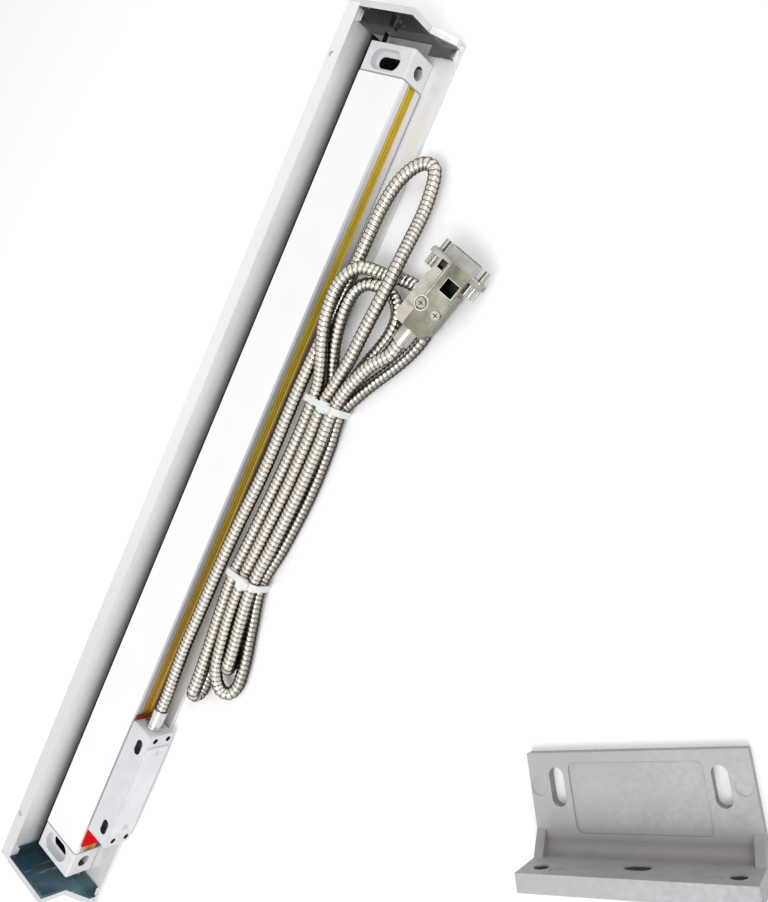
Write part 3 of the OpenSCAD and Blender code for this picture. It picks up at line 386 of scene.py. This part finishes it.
def along_group():
    """Rises from 0 to 1 as Vector goes from Start to End along Axis."""
    tree, gin, gout = group(
        "along", [("Vector", "vector"), ("Axis", "vector"),
                  ("Start", 0.0), ("End", 1.0)], ["Rise"])
    dot = tree.nodes.new("ShaderNodeVectorMath")
    dot.operation = "DOT_PRODUCT"
    tree.links.new(gin.outputs["Vector"], dot.inputs[0])
    tree.links.new(gin.outputs["Axis"], dot.inputs[1])
    ramp = tree.nodes.new("ShaderNodeMapRange")
    ramp.interpolation_type = "SMOOTHSTEP"
    tree.links.new(dot.outputs["Value"], ramp.inputs["Value"])
    tree.links.new(gin.outputs["Start"], ramp.inputs["From Min"])
    tree.links.new(gin.outputs["End"], ramp.inputs["From Max"])
    tree.links.new(ramp.outputs["Result"], gout.inputs["Rise"])
    return tree


FINE_GRAIN = fine_grain_group()
DRAWN_LINES = drawn_lines_group()
INSIDE_BOX = inside_box_group()
ALONG = along_group()


# ---------------------------------------------------------------- materials

NOISE_MIDDLE = (0.3, 0.7)


class Finish:
    """A node material with one principled surface."""

    def __init__(self, name, colour, rough, metal=0.0, **extra):
        self.mat = bpy.data.materials.new(name)
        self.mat.use_nodes = True
        self.tree = self.mat.node_tree
        self.surface = self.tree.nodes["Principled BSDF"]
        self.set("Base Color", (*colour, 1.0))
        self.set("Roughness", rough)
        self.set("Metallic", metal)
        for label, value in extra.items():
            self.set(label.replace("_", " "), value)
        place = self.node("ShaderNodeTexCoord")
        self.coords = place.outputs["Object"]
        self.normal = place.outputs["Normal"]

    def set(self, label, value):
        self.surface.inputs[label].default_value = value

    def node(self, kind, **values):
        made = self.tree.nodes.new(kind)
        for label, value in values.items():
            setattr(made, label, value)
        return made

    def link(self, a, b):
        self.tree.links.new(a, b)

    def use(self, tree, coords=None, **values):
        """Adds a shader group, fed with the piece's coordinates."""
        made = self.node("ShaderNodeGroup", node_tree=tree)
        for label, value in values.items():
            made.inputs[label].default_value = value
        self.link(coords or self.coords, made.inputs["Vector"])
        return made

    def maths(self, operation, *values):
        """One step of arithmetic on sockets and numbers."""
        made = self.node("ShaderNodeMath", operation=operation)
        for sock, value in zip(made.inputs, values):
            if isinstance(value, bpy.types.NodeSocket):
                self.link(value, sock)
            else:
                sock.default_value = value
        return made.outputs[0]

    def times(self, a, b):
        return self.maths("MULTIPLY", a, b)

    def vectors(self, operation, a, b=None):
        """The same on a vector socket, with a second vector if needed."""
        made = self.node("ShaderNodeVectorMath", operation=operation)
        self.link(a, made.inputs[0])
        if b is not None:
            made.inputs[1].default_value = b
        return made

    def ramp(self, value, start, end, low=0.0, high=1.0):
        """Maps start to end onto low to high."""
        made = self.node("ShaderNodeMapRange")
        for label, level in (("From Min", start), ("From Max", end),
                             ("To Min", low), ("To Max", high)):
            made.inputs[label].default_value = level
        self.link(value, made.inputs["Value"])
        return made.outputs["Result"]

    def spread(self, value, low, high):
        """Maps the middle of a noise onto low to high."""
        return self.ramp(value, *NOISE_MIDDLE, low, high)

    def over(self, mask, other, most=1.0):
        """Lays another colour over what is there, where mask is 1."""
        base = self.surface.inputs["Base Color"]
        mix = self.node("ShaderNodeMix", data_type="RGBA")
        first, second = [q for q in mix.inputs if q.type == "RGBA"]
        first.default_value = base.default_value[:]
        if base.links:
            self.link(base.links[0].from_socket, first)
        second.default_value = (*other, 1.0)
        self.link(self.times(mask, most), mix.inputs[0])
        self.link([q for q in mix.outputs if q.type == "RGBA"][0], base)

    def box(self, centre, half, coords=None):
        """Mask of what lies inside a box."""
        return self.use(
            INSIDE_BOX, coords, Centre=centre, Half=half).outputs["Mask"]

    def along(self, axis, start, end, coords=None):
        """Mask that rises along an axis of the piece."""
        return self.use(ALONG, coords, Axis=axis, Start=start,
                        End=end).outputs["Rise"]

    def faces(self, axis, start=0.4, end=0.9):
        """Mask of the faces that look along an axis."""
        return self.along(axis, start, end, self.normal)

    def edges(self, axis):
        """Mask of the broken edges round the faces that look along an axis."""
        slanted = self.faces(axis, 0.30, 0.50)
        flat = self.faces(axis, 0.97, 0.86)
        return self.times(slanted, flat)

    def ring(self, centre, radius, half, coords):
        """Mask of a ring about the Z axis of the coordinates."""
        away = self.vectors("SUBTRACT", coords, centre)
        flat = self.vectors("MULTIPLY", away.outputs["Vector"], (1, 1, 0))
        far = self.vectors("LENGTH", flat.outputs["Vector"])
        return self.maths("COMPARE", far.outputs["Value"], radius, half)

    def placed(self, at, turn):
        """Coordinates from a piece's own corner, unturned, in millimetres."""
        made = self.node("ShaderNodeMapping", vector_type="TEXTURE")
        made.inputs["Location"].default_value = [v * MM for v in at]
        made.inputs["Rotation"].default_value = [
            math.radians(v) for v in turn]
        made.inputs["Scale"].default_value = (MM, MM, MM)
        self.link(self.coords, made.inputs["Vector"])
        return made.outputs["Vector"]

    def streaks(self, stretch, low, high):
        """Mask of stretched streaks: painted reflection and glints on the
        caps,
            cloudy tone on the bracket.
        """
        scaled = self.vectors("MULTIPLY", self.coords, stretch)
        noise = self.node("ShaderNodeTexNoise")
        noise.inputs["Scale"].default_value = 1.0
        noise.inputs["Detail"].default_value = 2.0
        self.link(scaled.outputs["Vector"], noise.inputs["Vector"])
        return self.ramp(noise.outputs["Fac"], low, high)

    def bump(self, height, depth):
        """Raises the surface by up to depth metres."""
        made = self.node("ShaderNodeBump")
        made.inputs["Distance"].default_value = depth
        self.link(height, made.inputs["Height"])
        self.link(made.outputs["Normal"], self.surface.inputs["Normal"])


def drawn_metal(name, colour, rough, depth=0.00002):
    """Extruded metal with die lines along its length."""
    f = Finish(name, colour, rough, 1.0)
    lines = f.use(DRAWN_LINES, Scale=1.0).outputs["Lines"]
    grain = f.use(FINE_GRAIN, Coarse=25.0, Fine=700.0)
    f.link(f.spread(lines, rough * 0.8, rough * 1.3),
           f.surface.inputs["Roughness"])
    f.over(f.spread(grain.outputs["Drift"], 0.0, 0.5),
           tuple(c * 0.86 for c in colour))
    f.bump(lines, depth)
    return f


def skin(name, colour, rough, metal=0.0, other=0.9, depth=0.00004,
         coarse=60.0, fine=900.0, **extra):
    """Any plain skin with slight drift in colour, gloss and level."""
    f = Finish(name, colour, rough, metal, **extra)
    grain = f.use(FINE_GRAIN, Coarse=coarse, Fine=fine)
    f.over(f.spread(grain.outputs["Drift"], 0.0, 1.0),
           tuple(min(1, c * other) for c in colour))
    f.link(f.spread(grain.outputs["Speckle"], rough * 0.85, rough * 1.2),
           f.surface.inputs["Roughness"])
    f.bump(grain.outputs["Speckle"], depth)
    return f


def shaded_edges(f, start, end, most):
    """Darkens the colour where the surface turns away from the viewer."""
    facing = f.node("ShaderNodeLayerWeight")
    facing.inputs["Blend"].default_value = 0.5
    f.over(f.ramp(facing.outputs["Facing"], start, end, 0.0, most),
           (0.012, 0.009, 0.006))


def conduit_finish():
    """Wound stainless strip: bright crowns, with painted shade in the grooves,
    low on each strand and on the flanks that turn down.
    """
    groove_shade, shade = (0.15, 0.135, 0.11), (0.02, 0.016, 0.012)
    down = (0, 0, -1)
    f = Finish("conduit_steel", (0.66, 0.62, 0.55), 0.3, 1.0)
    uv = f.node("ShaderNodeUVMap")
    split = f.node("ShaderNodeSeparateXYZ")
    f.link(uv.outputs["UV"], split.inputs[0])
    phase = f.maths("FRACT", split.outputs["X"])
    from_groove = f.maths("PINGPONG", phase, 0.5)
    # painted shade in the grooves between the ribs
    f.over(f.ramp(from_groove, 0.02, 0.22, 1.0, 0.0), groove_shade)
    # painted shade low on each strand
    f.over(f.along(down, -8.5 * MM, -2.5 * MM), shade, 0.92)
    # painted shade on the flanks that turn down
    f.over(f.faces(down, -0.32, 0.05), shade, 0.9)
    shaded_edges(f, 0.36, 0.72, 0.96)
    grain = f.use(FINE_GRAIN, Coarse=120.0, Fine=1500.0)
    f.link(f.spread(grain.outputs["Drift"], 0.18, 0.34),
           f.surface.inputs["Roughness"])
    return f


def glass_finish():
    f = Finish("scale_glass", (0.93, 0.98, 0.97), 0.03)
    f.set("Transmission Weight", 0.9)
    return f


def cap_finish(name, inward, light, dark, start, end):
    """Bright chromed casting; its inside is not metal but carries a painted
    reflection of the dark trough, with painted glints.
    """
    f = skin(name, (0.74, 0.75, 0.76), 0.12, 1.0, other=0.9,
             depth=0.00002, coarse=60.0, fine=300.0)
    inside = f.faces((inward, 0, 0), 0.5, 0.9)
    f.set("Specular IOR Level", 0.1)
    f.link(f.maths("SUBTRACT", 1.0, inside), f.surface.inputs["Metallic"])
    # painted reflection of the trough on the inside, darker along Y
    f.over(inside, light)
    f.over(f.times(inside, f.along((0, 1, 0), start, end)), dark)
    # painted reflection: dark streaks, then light glints
    f.over(f.times(inside, f.streaks((90, 60, 45), 0.42, 0.66)), dark, 0.8)
    f.over(f.times(inside, f.streaks((260, 260, 30), 0.62, 0.72)),
           (0.42, 0.44, 0.42), 0.6)
    # painted reflection: dark lines along the rims
    for way in (-1, 1):
        f.over(f.edges((way, 0, 0)), (0.03, 0.035, 0.035), 0.9)
    return f


BLOCK_SLOT_X = 245.5 * MM    # fixing slots and ports, from the middle
PORT_Z = 11.65 * MM
PORT_R = 3.7 * MM


def block_finish():
    """Light grey blocks; painted shade darkens their fixing slots and ports
    inside, with painted light on the lower wall of each port.
    """
    f = skin("block_grey", (0.77, 0.765, 0.785), 0.36, 0.05, coarse=120.0)
    for block in ("end_block_near", "end_block_far"):
        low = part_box(block)[0]
        x = math.copysign(BLOCK_SLOT_X, low[0])
        # painted shade in the fixing slot
        f.over(f.box((x, 3 * MM, 8.2 * MM),
                     (3.4 * MM, 7.6 * MM, 8 * MM)), (0.01, 0.01, 0.012))
        port_y = low[1] + 4 * MM
        # painted shade in the port
        f.over(f.box((x, port_y, PORT_Z), (PORT_R, 3.8 * MM, PORT_R)),
               (0.08, 0.08, 0.085))
        # painted light on the lower wall of the port
        f.over(f.box((x, port_y, 8.6 * MM), (PORT_R, 3.8 * MM, 0.9 * MM)),
               (0.55, 0.55, 0.56))
    return f


def head_finish():
    """Light grey head; painted shade darkens its top slots and tapped holes
    inside.
    """
    f = skin("head_grey", (0.71, 0.71, 0.74), 0.36, 0.05, coarse=120.0)
    low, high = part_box("reader_housing")
    middle = (low[0] + high[0]) / 2
    for side in (-1, 1):
        # painted shade in the top slots
        f.over(f.box((middle + side * 27 * MM, (low[1] + high[1]) / 2,
                      high[2] - 2.2 * MM),
                     (6 * MM, 5 * MM, 1.9 * MM)), (0.05, 0.05, 0.055))
        for up in (-1, 1):
            # painted shade in the tapped holes
            f.over(f.box((middle + side * 33.75 * MM, low[1] + 3 * MM,
                          (10.9 + up * 4.75) * MM),
                         (2 * MM, 2.9 * MM, 2 * MM)), (0.03, 0.03, 0.03))
    return f


def body_finish():
    """White body; its front face is greyer with painted shade, darker at the
    near end with painted shadow and lighter along its top edge with
    painted light; an amber band lies just below the lips, with painted
    shadow under it at the near end and painted shade at the foot."""
    f = skin("body_white", (0.93, 0.93, 0.94), 0.4, other=0.98,
             depth=0.00001)
    front = f.faces((0, -1, 0), 0.6, 0.9)
    # painted shade on the front face
    f.over(front, (0.70, 0.70, 0.72))
    # painted shadow at the near end, where the conduit lies in front
    f.over(f.times(front, f.along((-1, 0, 0), -0.22, -0.10)),
           (0.44, 0.44, 0.45))
    # painted light along the top edge of the front face
    f.over(f.times(front, f.along((0, 0, 1), 17.9 * MM, 18.9 * MM)),
           (0.86, 0.86, 0.88))
    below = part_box("lip_seal_lower")[1][2] - LIP_SHOWS
    # an amber band just below the lower lip
    f.over(f.box((0, -12.4 * MM, below), (0.2377, 1.15 * MM, 0.5 * MM)),
           (0.50, 0.36, 0.03), 0.9)
    near = f.times(front, f.along((-1, 0, 0), -0.17, -0.06))
    f.over(f.times(near, f.along((0, 0, -1), -below - 0.2 * MM, -below)),
           (0.40, 0.20, 0.015), 0.9)
    # painted shadow of the conduit under the band at the near end
    f.over(f.times(near, f.along((0, 0, -1), -below + 1.2 * MM,
                                 -below + 1.9 * MM)),
           (0.03, 0.024, 0.02), 0.95)
    # painted shade at the foot of the front face
    f.over(f.times(front, f.along((0, 0, -1), -3.6 * MM, -3.3 * MM)),
           (0.03, 0.03, 0.032))
    return f


def cover_finish():
    """Milled aluminium, with painted light on its top faces and painted
    shade down in the trough behind the body.
    """
    f = drawn_metal("cover_aluminium", (0.80, 0.80, 0.81), 0.42)
    f.set("Metallic", 0.35)
    top = f.faces((0, 0, 1), 0.6, 0.9)
    # painted light on the top faces
    f.over(top, (0.88, 0.875, 0.88), 0.8)
    # the top faces darker towards the near end
    f.over(f.times(top, f.along((-1, 0, 0), -0.05, 0.18)),
           (0.68, 0.67, 0.675), 0.8)
    # painted shade on the wall behind the body, darkest at its foot
    behind = f.times(f.faces((0, -1, 0), 0.6, 0.9),
                     f.along((0, 1, 0), 0.019, 0.022))
    f.over(f.times(behind, f.along((0, 0, -1), -0.0225, -0.0150)),
           (0.12, 0.13, 0.13), 0.85)
    f.over(f.times(behind, f.along((0, 0, -1), -0.0158, -0.0142)),
           (0.006, 0.007, 0.007))
    return f


def lip_finish(name, far, near):
    """Amber lips, yellow at the far end and browner at the near end."""
    f = skin(name, far, 0.35, other=0.85, depth=0.0001, coarse=200.0)
    f.over(f.along((-1, 0, 0), -0.10, 0.22), near)
    return f


def spacer_finish():
    """Red spacer; painted shade darkens the strip between head and body,
    less of it past the head's far end.
    """
    f = skin("spacer_red", (0.68, 0.0, 0.003), 0.4)
    f.set("Specular IOR Level", 0.05)
    low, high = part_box("reader_housing")
    # painted shade between head and body
    f.over(f.along((1, 0, 0), low[0], low[0] + 6 * MM),
           (0.05, 0.004, 0.005), 0.92)
    # less painted shade past the head's far end
    f.over(f.along((1, 0, 0), high[0] - 5 * MM, high[0]),
           (0.22, 0.05, 0.01))
    return f


HOOD_SCREW_X = 22.8          # along the hood from the conduit, mm
HOOD_SCREW_Y = (-7.4, 2.4)   # across it


def hood_finish(name, colour, rough, cloud):
    """Nickel plate gone cloudy."""
    f = Finish(name, colour, rough, 1.0)
    grain = f.use(FINE_GRAIN, Coarse=70.0, Fine=240.0)
    f.over(f.spread(grain.outputs["Drift"], 0.0, 1.0), cloud)
    f.link(f.spread(grain.outputs["Speckle"], rough * 0.7, rough * 1.4),
           f.surface.inputs["Roughness"])
    return f


def hood_marks(f):
    """Painted highlights on edges and rims, darker towards the cable, and
    painted shade beside the step, in the screw notch, the window and the
    hollow inside.
    """
    edge_highlight, dark_olive = (0.72, 0.70, 0.64), (0.10, 0.095, 0.07)
    own = f.placed(CONNECTOR_AT, CONNECTOR_TURN)
    # darker towards the cable end
    f.over(f.along((-1, 0, 0), -34, -12, own), dark_olive, 0.5)
    f.over(f.along((0, 1, 0), 3.4, 3.5, own), (0.50, 0.47, 0.42), 0.7)
    # painted shadow beside the raised step
    f.over(f.box((36.6, 3.6, 7), (10.4, 0.3, 1.5), own), dark_olive, 0.9)
    # painted highlight along the edge of the step
    f.over(f.box((36.6, 3.05, 7), (10.4, 0.22, 1.5), own), edge_highlight, 0.85)
    screw = (HOOD_SCREW_X, HOOD_SCREW_Y[1])
    face = f.box((*screw, 7), (4, 4, 1.5), own)
    # painted highlight on the rim of the screw notch, painted shade inside it
    for radius, half, colour in ((3.6, 0.22, edge_highlight), (3.1, 0.25, dark_olive)):
        f.over(f.times(face, f.ring((*screw, 0), radius, half, own)),
               colour, 0.85)
    # painted highlight round the window
    f.over(f.box((36.65, -4.25, 7.7), (3.95, 4.05, 0.6), own), edge_highlight, 0.7)
    # painted shade in the hollow inside and in the window
    for centre, half in (((28, 0, 0), (19.4, 8.1, 6.3)),
                         ((36.65, -4.25, 6.4), (3.75, 3.85, 1.2))):
        f.over(f.box(centre, half, own), (0.02, 0.026, 0.02))
    roll = Matrix.Rotation(math.radians(CONNECTOR_TURN[0]), 3, "X")
    upright = (Matrix.Rotation(yaw, 3, "Z") @ roll).col[2]
    # painted highlight on the broken edges
    f.over(f.edges(upright), edge_highlight)
    return f


def hood_screw_finish():
    """Nickel screws with painted shade in a cross recess."""
    f = hood_finish("screw_nickel", (0.40, 0.39, 0.34), 0.3,
                    (0.27, 0.26, 0.22))
    own = f.placed(CONNECTOR_AT, CONNECTOR_TURN)
    for y in HOOD_SCREW_Y:
        # painted shade in the cross recess
        for half in ((1.5, 0.28, 9), (0.28, 1.5, 9)):
            f.over(f.box((HOOD_SCREW_X, y, 3), half, own),
                   (0.05, 0.05, 0.04), 0.85)
    return f


BRACKET_AT = (-37.5, -283.4, 0)    # middle of its outer lower edge, mm
BRACKET_TURN = (0, 0, -53.5)       # degrees


def bracket_finish():
    """Sand-cast grey alloy: cloudy, browner in the corner of the two legs,
    with painted light on its upward faces and painted shade in its holes.
    """
    f = skin("bracket_cast", (0.37, 0.36, 0.375), 0.5, 0.1, other=0.88,
             depth=0.00004, coarse=45.0, fine=450.0)
    own = f.placed(BRACKET_AT, BRACKET_TURN)
    f.over(f.streaks((30, 160, 160), 0.5, 0.7), (0.27, 0.265, 0.28), 0.6)
    # painted light on the upward faces
    f.over(f.faces((0, 0, 1), 0.5, 0.9), (0.47, 0.46, 0.475), 0.5)
    corner = f.times(f.along((0, 0, -1), -15, -7, own),
                     f.along((0, -1, 0), -22, -10, own))
    corner = f.times(corner, f.along((0, 1, 0), 5.5, 7, own))
    f.over(corner, (0.27, 0.245, 0.235), 0.6)
    # painted shade in the three holes
    for x, z, half in ((-38, 25, 3.5), (38, 25, 3.5), (0, 20, 5.7)):
        f.over(f.box((x, 3.6, z), (half, 3.2, 3.6), own),
               (0.07, 0.06, 0.065))
    return f


FINISH = {
    "cover_aluminium": cover_finish(),
    # the two colours of each cap are its painted reflection inside
    "cap_near_chrome": cap_finish(
        "cap_near_chrome", 1, (0.15, 0.25, 0.29), (0.03, 0.07, 0.10),
        -0.014, 0.018),
    "cap_far_chrome": cap_finish(
        "cap_far_chrome", -1, (0.24, 0.29, 0.28), (0.022, 0.021, 0.014),
        -0.024, -0.004),
    "screw_steel": skin("screw_steel", (0.45, 0.46, 0.48), 0.3, 1.0),
    "body_white": body_finish(),
    "block_grey": block_finish(),
    "head_grey": head_finish(),
    "gasket_grey": skin("gasket_grey", (0.30, 0.30, 0.32), 0.6),
    "lid_grey": skin("lid_grey", (0.77, 0.77, 0.80), 0.36, 0.05),
    "black_rubber": skin("black_rubber", (0.02, 0.02, 0.022), 0.6),
    "lip_amber": lip_finish(
        "lip_amber", (0.62, 0.46, 0.012), (0.50, 0.24, 0.012)),
    "lip_edge": lip_finish(
        "lip_edge", (0.55, 0.30, 0.006), (0.42, 0.12, 0.008)),
    "scale_glass": glass_finish(),
    "board_green": Finish("board_green", (0.03, 0.16, 0.07), 0.35),
    "bright_steel": skin("bright_steel", (0.72, 0.71, 0.70), 0.2, 1.0),
    "carriage_plastic": skin("carriage_plastic", (0.03, 0.03, 0.033), 0.5),
    "lamp_clear": skin("lamp_clear", (0.9, 0.88, 0.76), 0.15),
    "spacer_red": spacer_finish(),
    "conduit_steel": conduit_finish(),
    "tie_nylon": skin(
        "tie_nylon", (0.88, 0.87, 0.85), 0.42, Subsurface_Weight=0.1),
    "hood_nickel": hood_marks(hood_finish(
        "hood_nickel", (0.34, 0.325, 0.27), 0.3, (0.17, 0.16, 0.125))),
    "shell_nickel": hood_finish(
        "shell_nickel", (0.52, 0.51, 0.48), 0.22, (0.33, 0.32, 0.29)),
    "screw_nickel": hood_screw_finish(),
    "insert_black": skin("insert_black", (0.015, 0.015, 0.018), 0.4),
    "pin_gold": skin("pin_gold", (0.80, 0.58, 0.22), 0.25, 1.0),
    "bracket_cast": bracket_finish(),
}

# pieces whose finish differs from the rest of their record slot
OWN_FINISH = {
    "cover_cap_near": "cap_near_chrome", "cover_cap_far": "cap_far_chrome",
    "reader_housing": "head_grey", "end_gaskets": "gasket_grey",
    "connector_shell": "shell_nickel", "jackscrew_left": "shell_nickel",
    "jackscrew_right": "shell_nickel", "crimp_ferrule": "shell_nickel",
    "hood_screws": "screw_nickel", "reader_cover_screws": "bright_steel"}


slot_of = {p["node"]: p["material_slot"]
           for p in frame["record"]["subparts"]}


def paint(obj, finish):
    obj.data.materials.clear()
    obj.data.materials.append(FINISH[finish].mat)


paint(conduit, "conduit_steel")
paint(lip_edge, "lip_edge")
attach(lip_edge, "scale")
for name, obj in NODES.items():
    if not name.startswith("cord_"):
        paint(obj, OWN_FINISH.get(name, slot_of[name]))


# -------------------------------------------------------------------- edges

def soften(name, width):
    """Breaks the edges of a CAD node, as casting and tumbling do."""
    bevel = NODES[name].modifiers.new("edge_break", "BEVEL")
    bevel.width = width
    bevel.segments = 2
    bevel.limit_method = "ANGLE"
    bevel.angle_limit = math.radians(35)


for name, width in (
        ("cover_cap_near", 0.0005), ("cover_cap_far", 0.0005),
        ("end_block_near", 0.0003), ("end_block_far", 0.0003),
        ("scale_housing", 0.0002), ("reader_housing", 0.0003),
        ("hood_upper", 0.0004), ("hood_lower", 0.0004),
        ("connector_shell", 0.0002), ("mounting_bracket", 0.0006)):
    soften(name, width)


# ---------------------------------------------------------- studio and light

def ground(size, colour):
    """A white sheet that a camera sees a little lighter further out."""
    verts = [(-size, -size, 0), (size, -size, 0), (size, size, 0),
             (-size, size, 0)]
    obj = new_object("floor", verts, [(0, 1, 2, 3)], smooth=False)
    obj.location = (0, 0, -0.2 * MM)
    f = Finish("floor", colour, 0.9)
    f.set("Specular IOR Level", 0.0)
    away = f.vectors("LENGTH", f.coords)
    lift = f.ramp(away.outputs["Value"], 0.6, 2.4, 0.11, 0.55)
    sight = f.node("ShaderNodeLightPath")
    f.set("Emission Color", (1, 1, 1, 1))
    f.link(f.times(sight.outputs["Is Camera Ray"], lift),
           f.surface.inputs["Emission Strength"])
    obj.data.materials.append(f.mat)


ground(6.0, (0.97, 0.97, 0.97))


def area_light(name, at, size, power):
    """A square lamp that looks at the origin."""
    data = bpy.data.lights.new(name, "AREA")
    data.size = size
    data.energy = power
    obj = bpy.data.objects.new(name, data)
    bpy.context.scene.collection.objects.link(obj)
    obj.location = at
    way = -Vector(at)
    obj.rotation_euler = way.to_track_quat("-Z", "Y").to_euler()


area_light("key", (-0.5, -0.5, 1.1), 0.7, 8.3)
area_light("side", (0.9, -0.5, 0.7), 0.5, 2.8)

# the surroundings look white, and light the part less than that
world = bpy.data.worlds.new("studio")
bpy.context.scene.world = world
world.use_nodes = True
tree = world.node_tree
tree.nodes.clear()
out = tree.nodes.new("ShaderNodeOutputWorld")
mix = tree.nodes.new("ShaderNodeMixShader")
for slot, colour, strength in ((1, (0.98, 0.985, 0.99, 1), 0.59),
                               (2, (1, 1, 1, 1), 1.0)):
    sky = tree.nodes.new("ShaderNodeBackground")
    sky.inputs["Color"].default_value = colour
    sky.inputs["Strength"].default_value = strength
    tree.links.new(sky.outputs[0], mix.inputs[slot])
rays = tree.nodes.new("ShaderNodeLightPath")
seen = rays.outputs["Is Camera Ray"]
for ray in ("Is Glossy Ray", "Is Transmission Ray"):
    either = tree.nodes.new("ShaderNodeMath")
    either.operation = "MAXIMUM"
    tree.links.new(seen, either.inputs[0])
    tree.links.new(rays.outputs[ray], either.inputs[1])
    seen = either.outputs[0]
tree.links.new(seen, mix.inputs["Fac"])
tree.links.new(mix.outputs[0], out.inputs["Surface"])

scene = bpy.context.scene
scene.view_settings.view_transform = "Standard"
scene.render.film_transparent = False
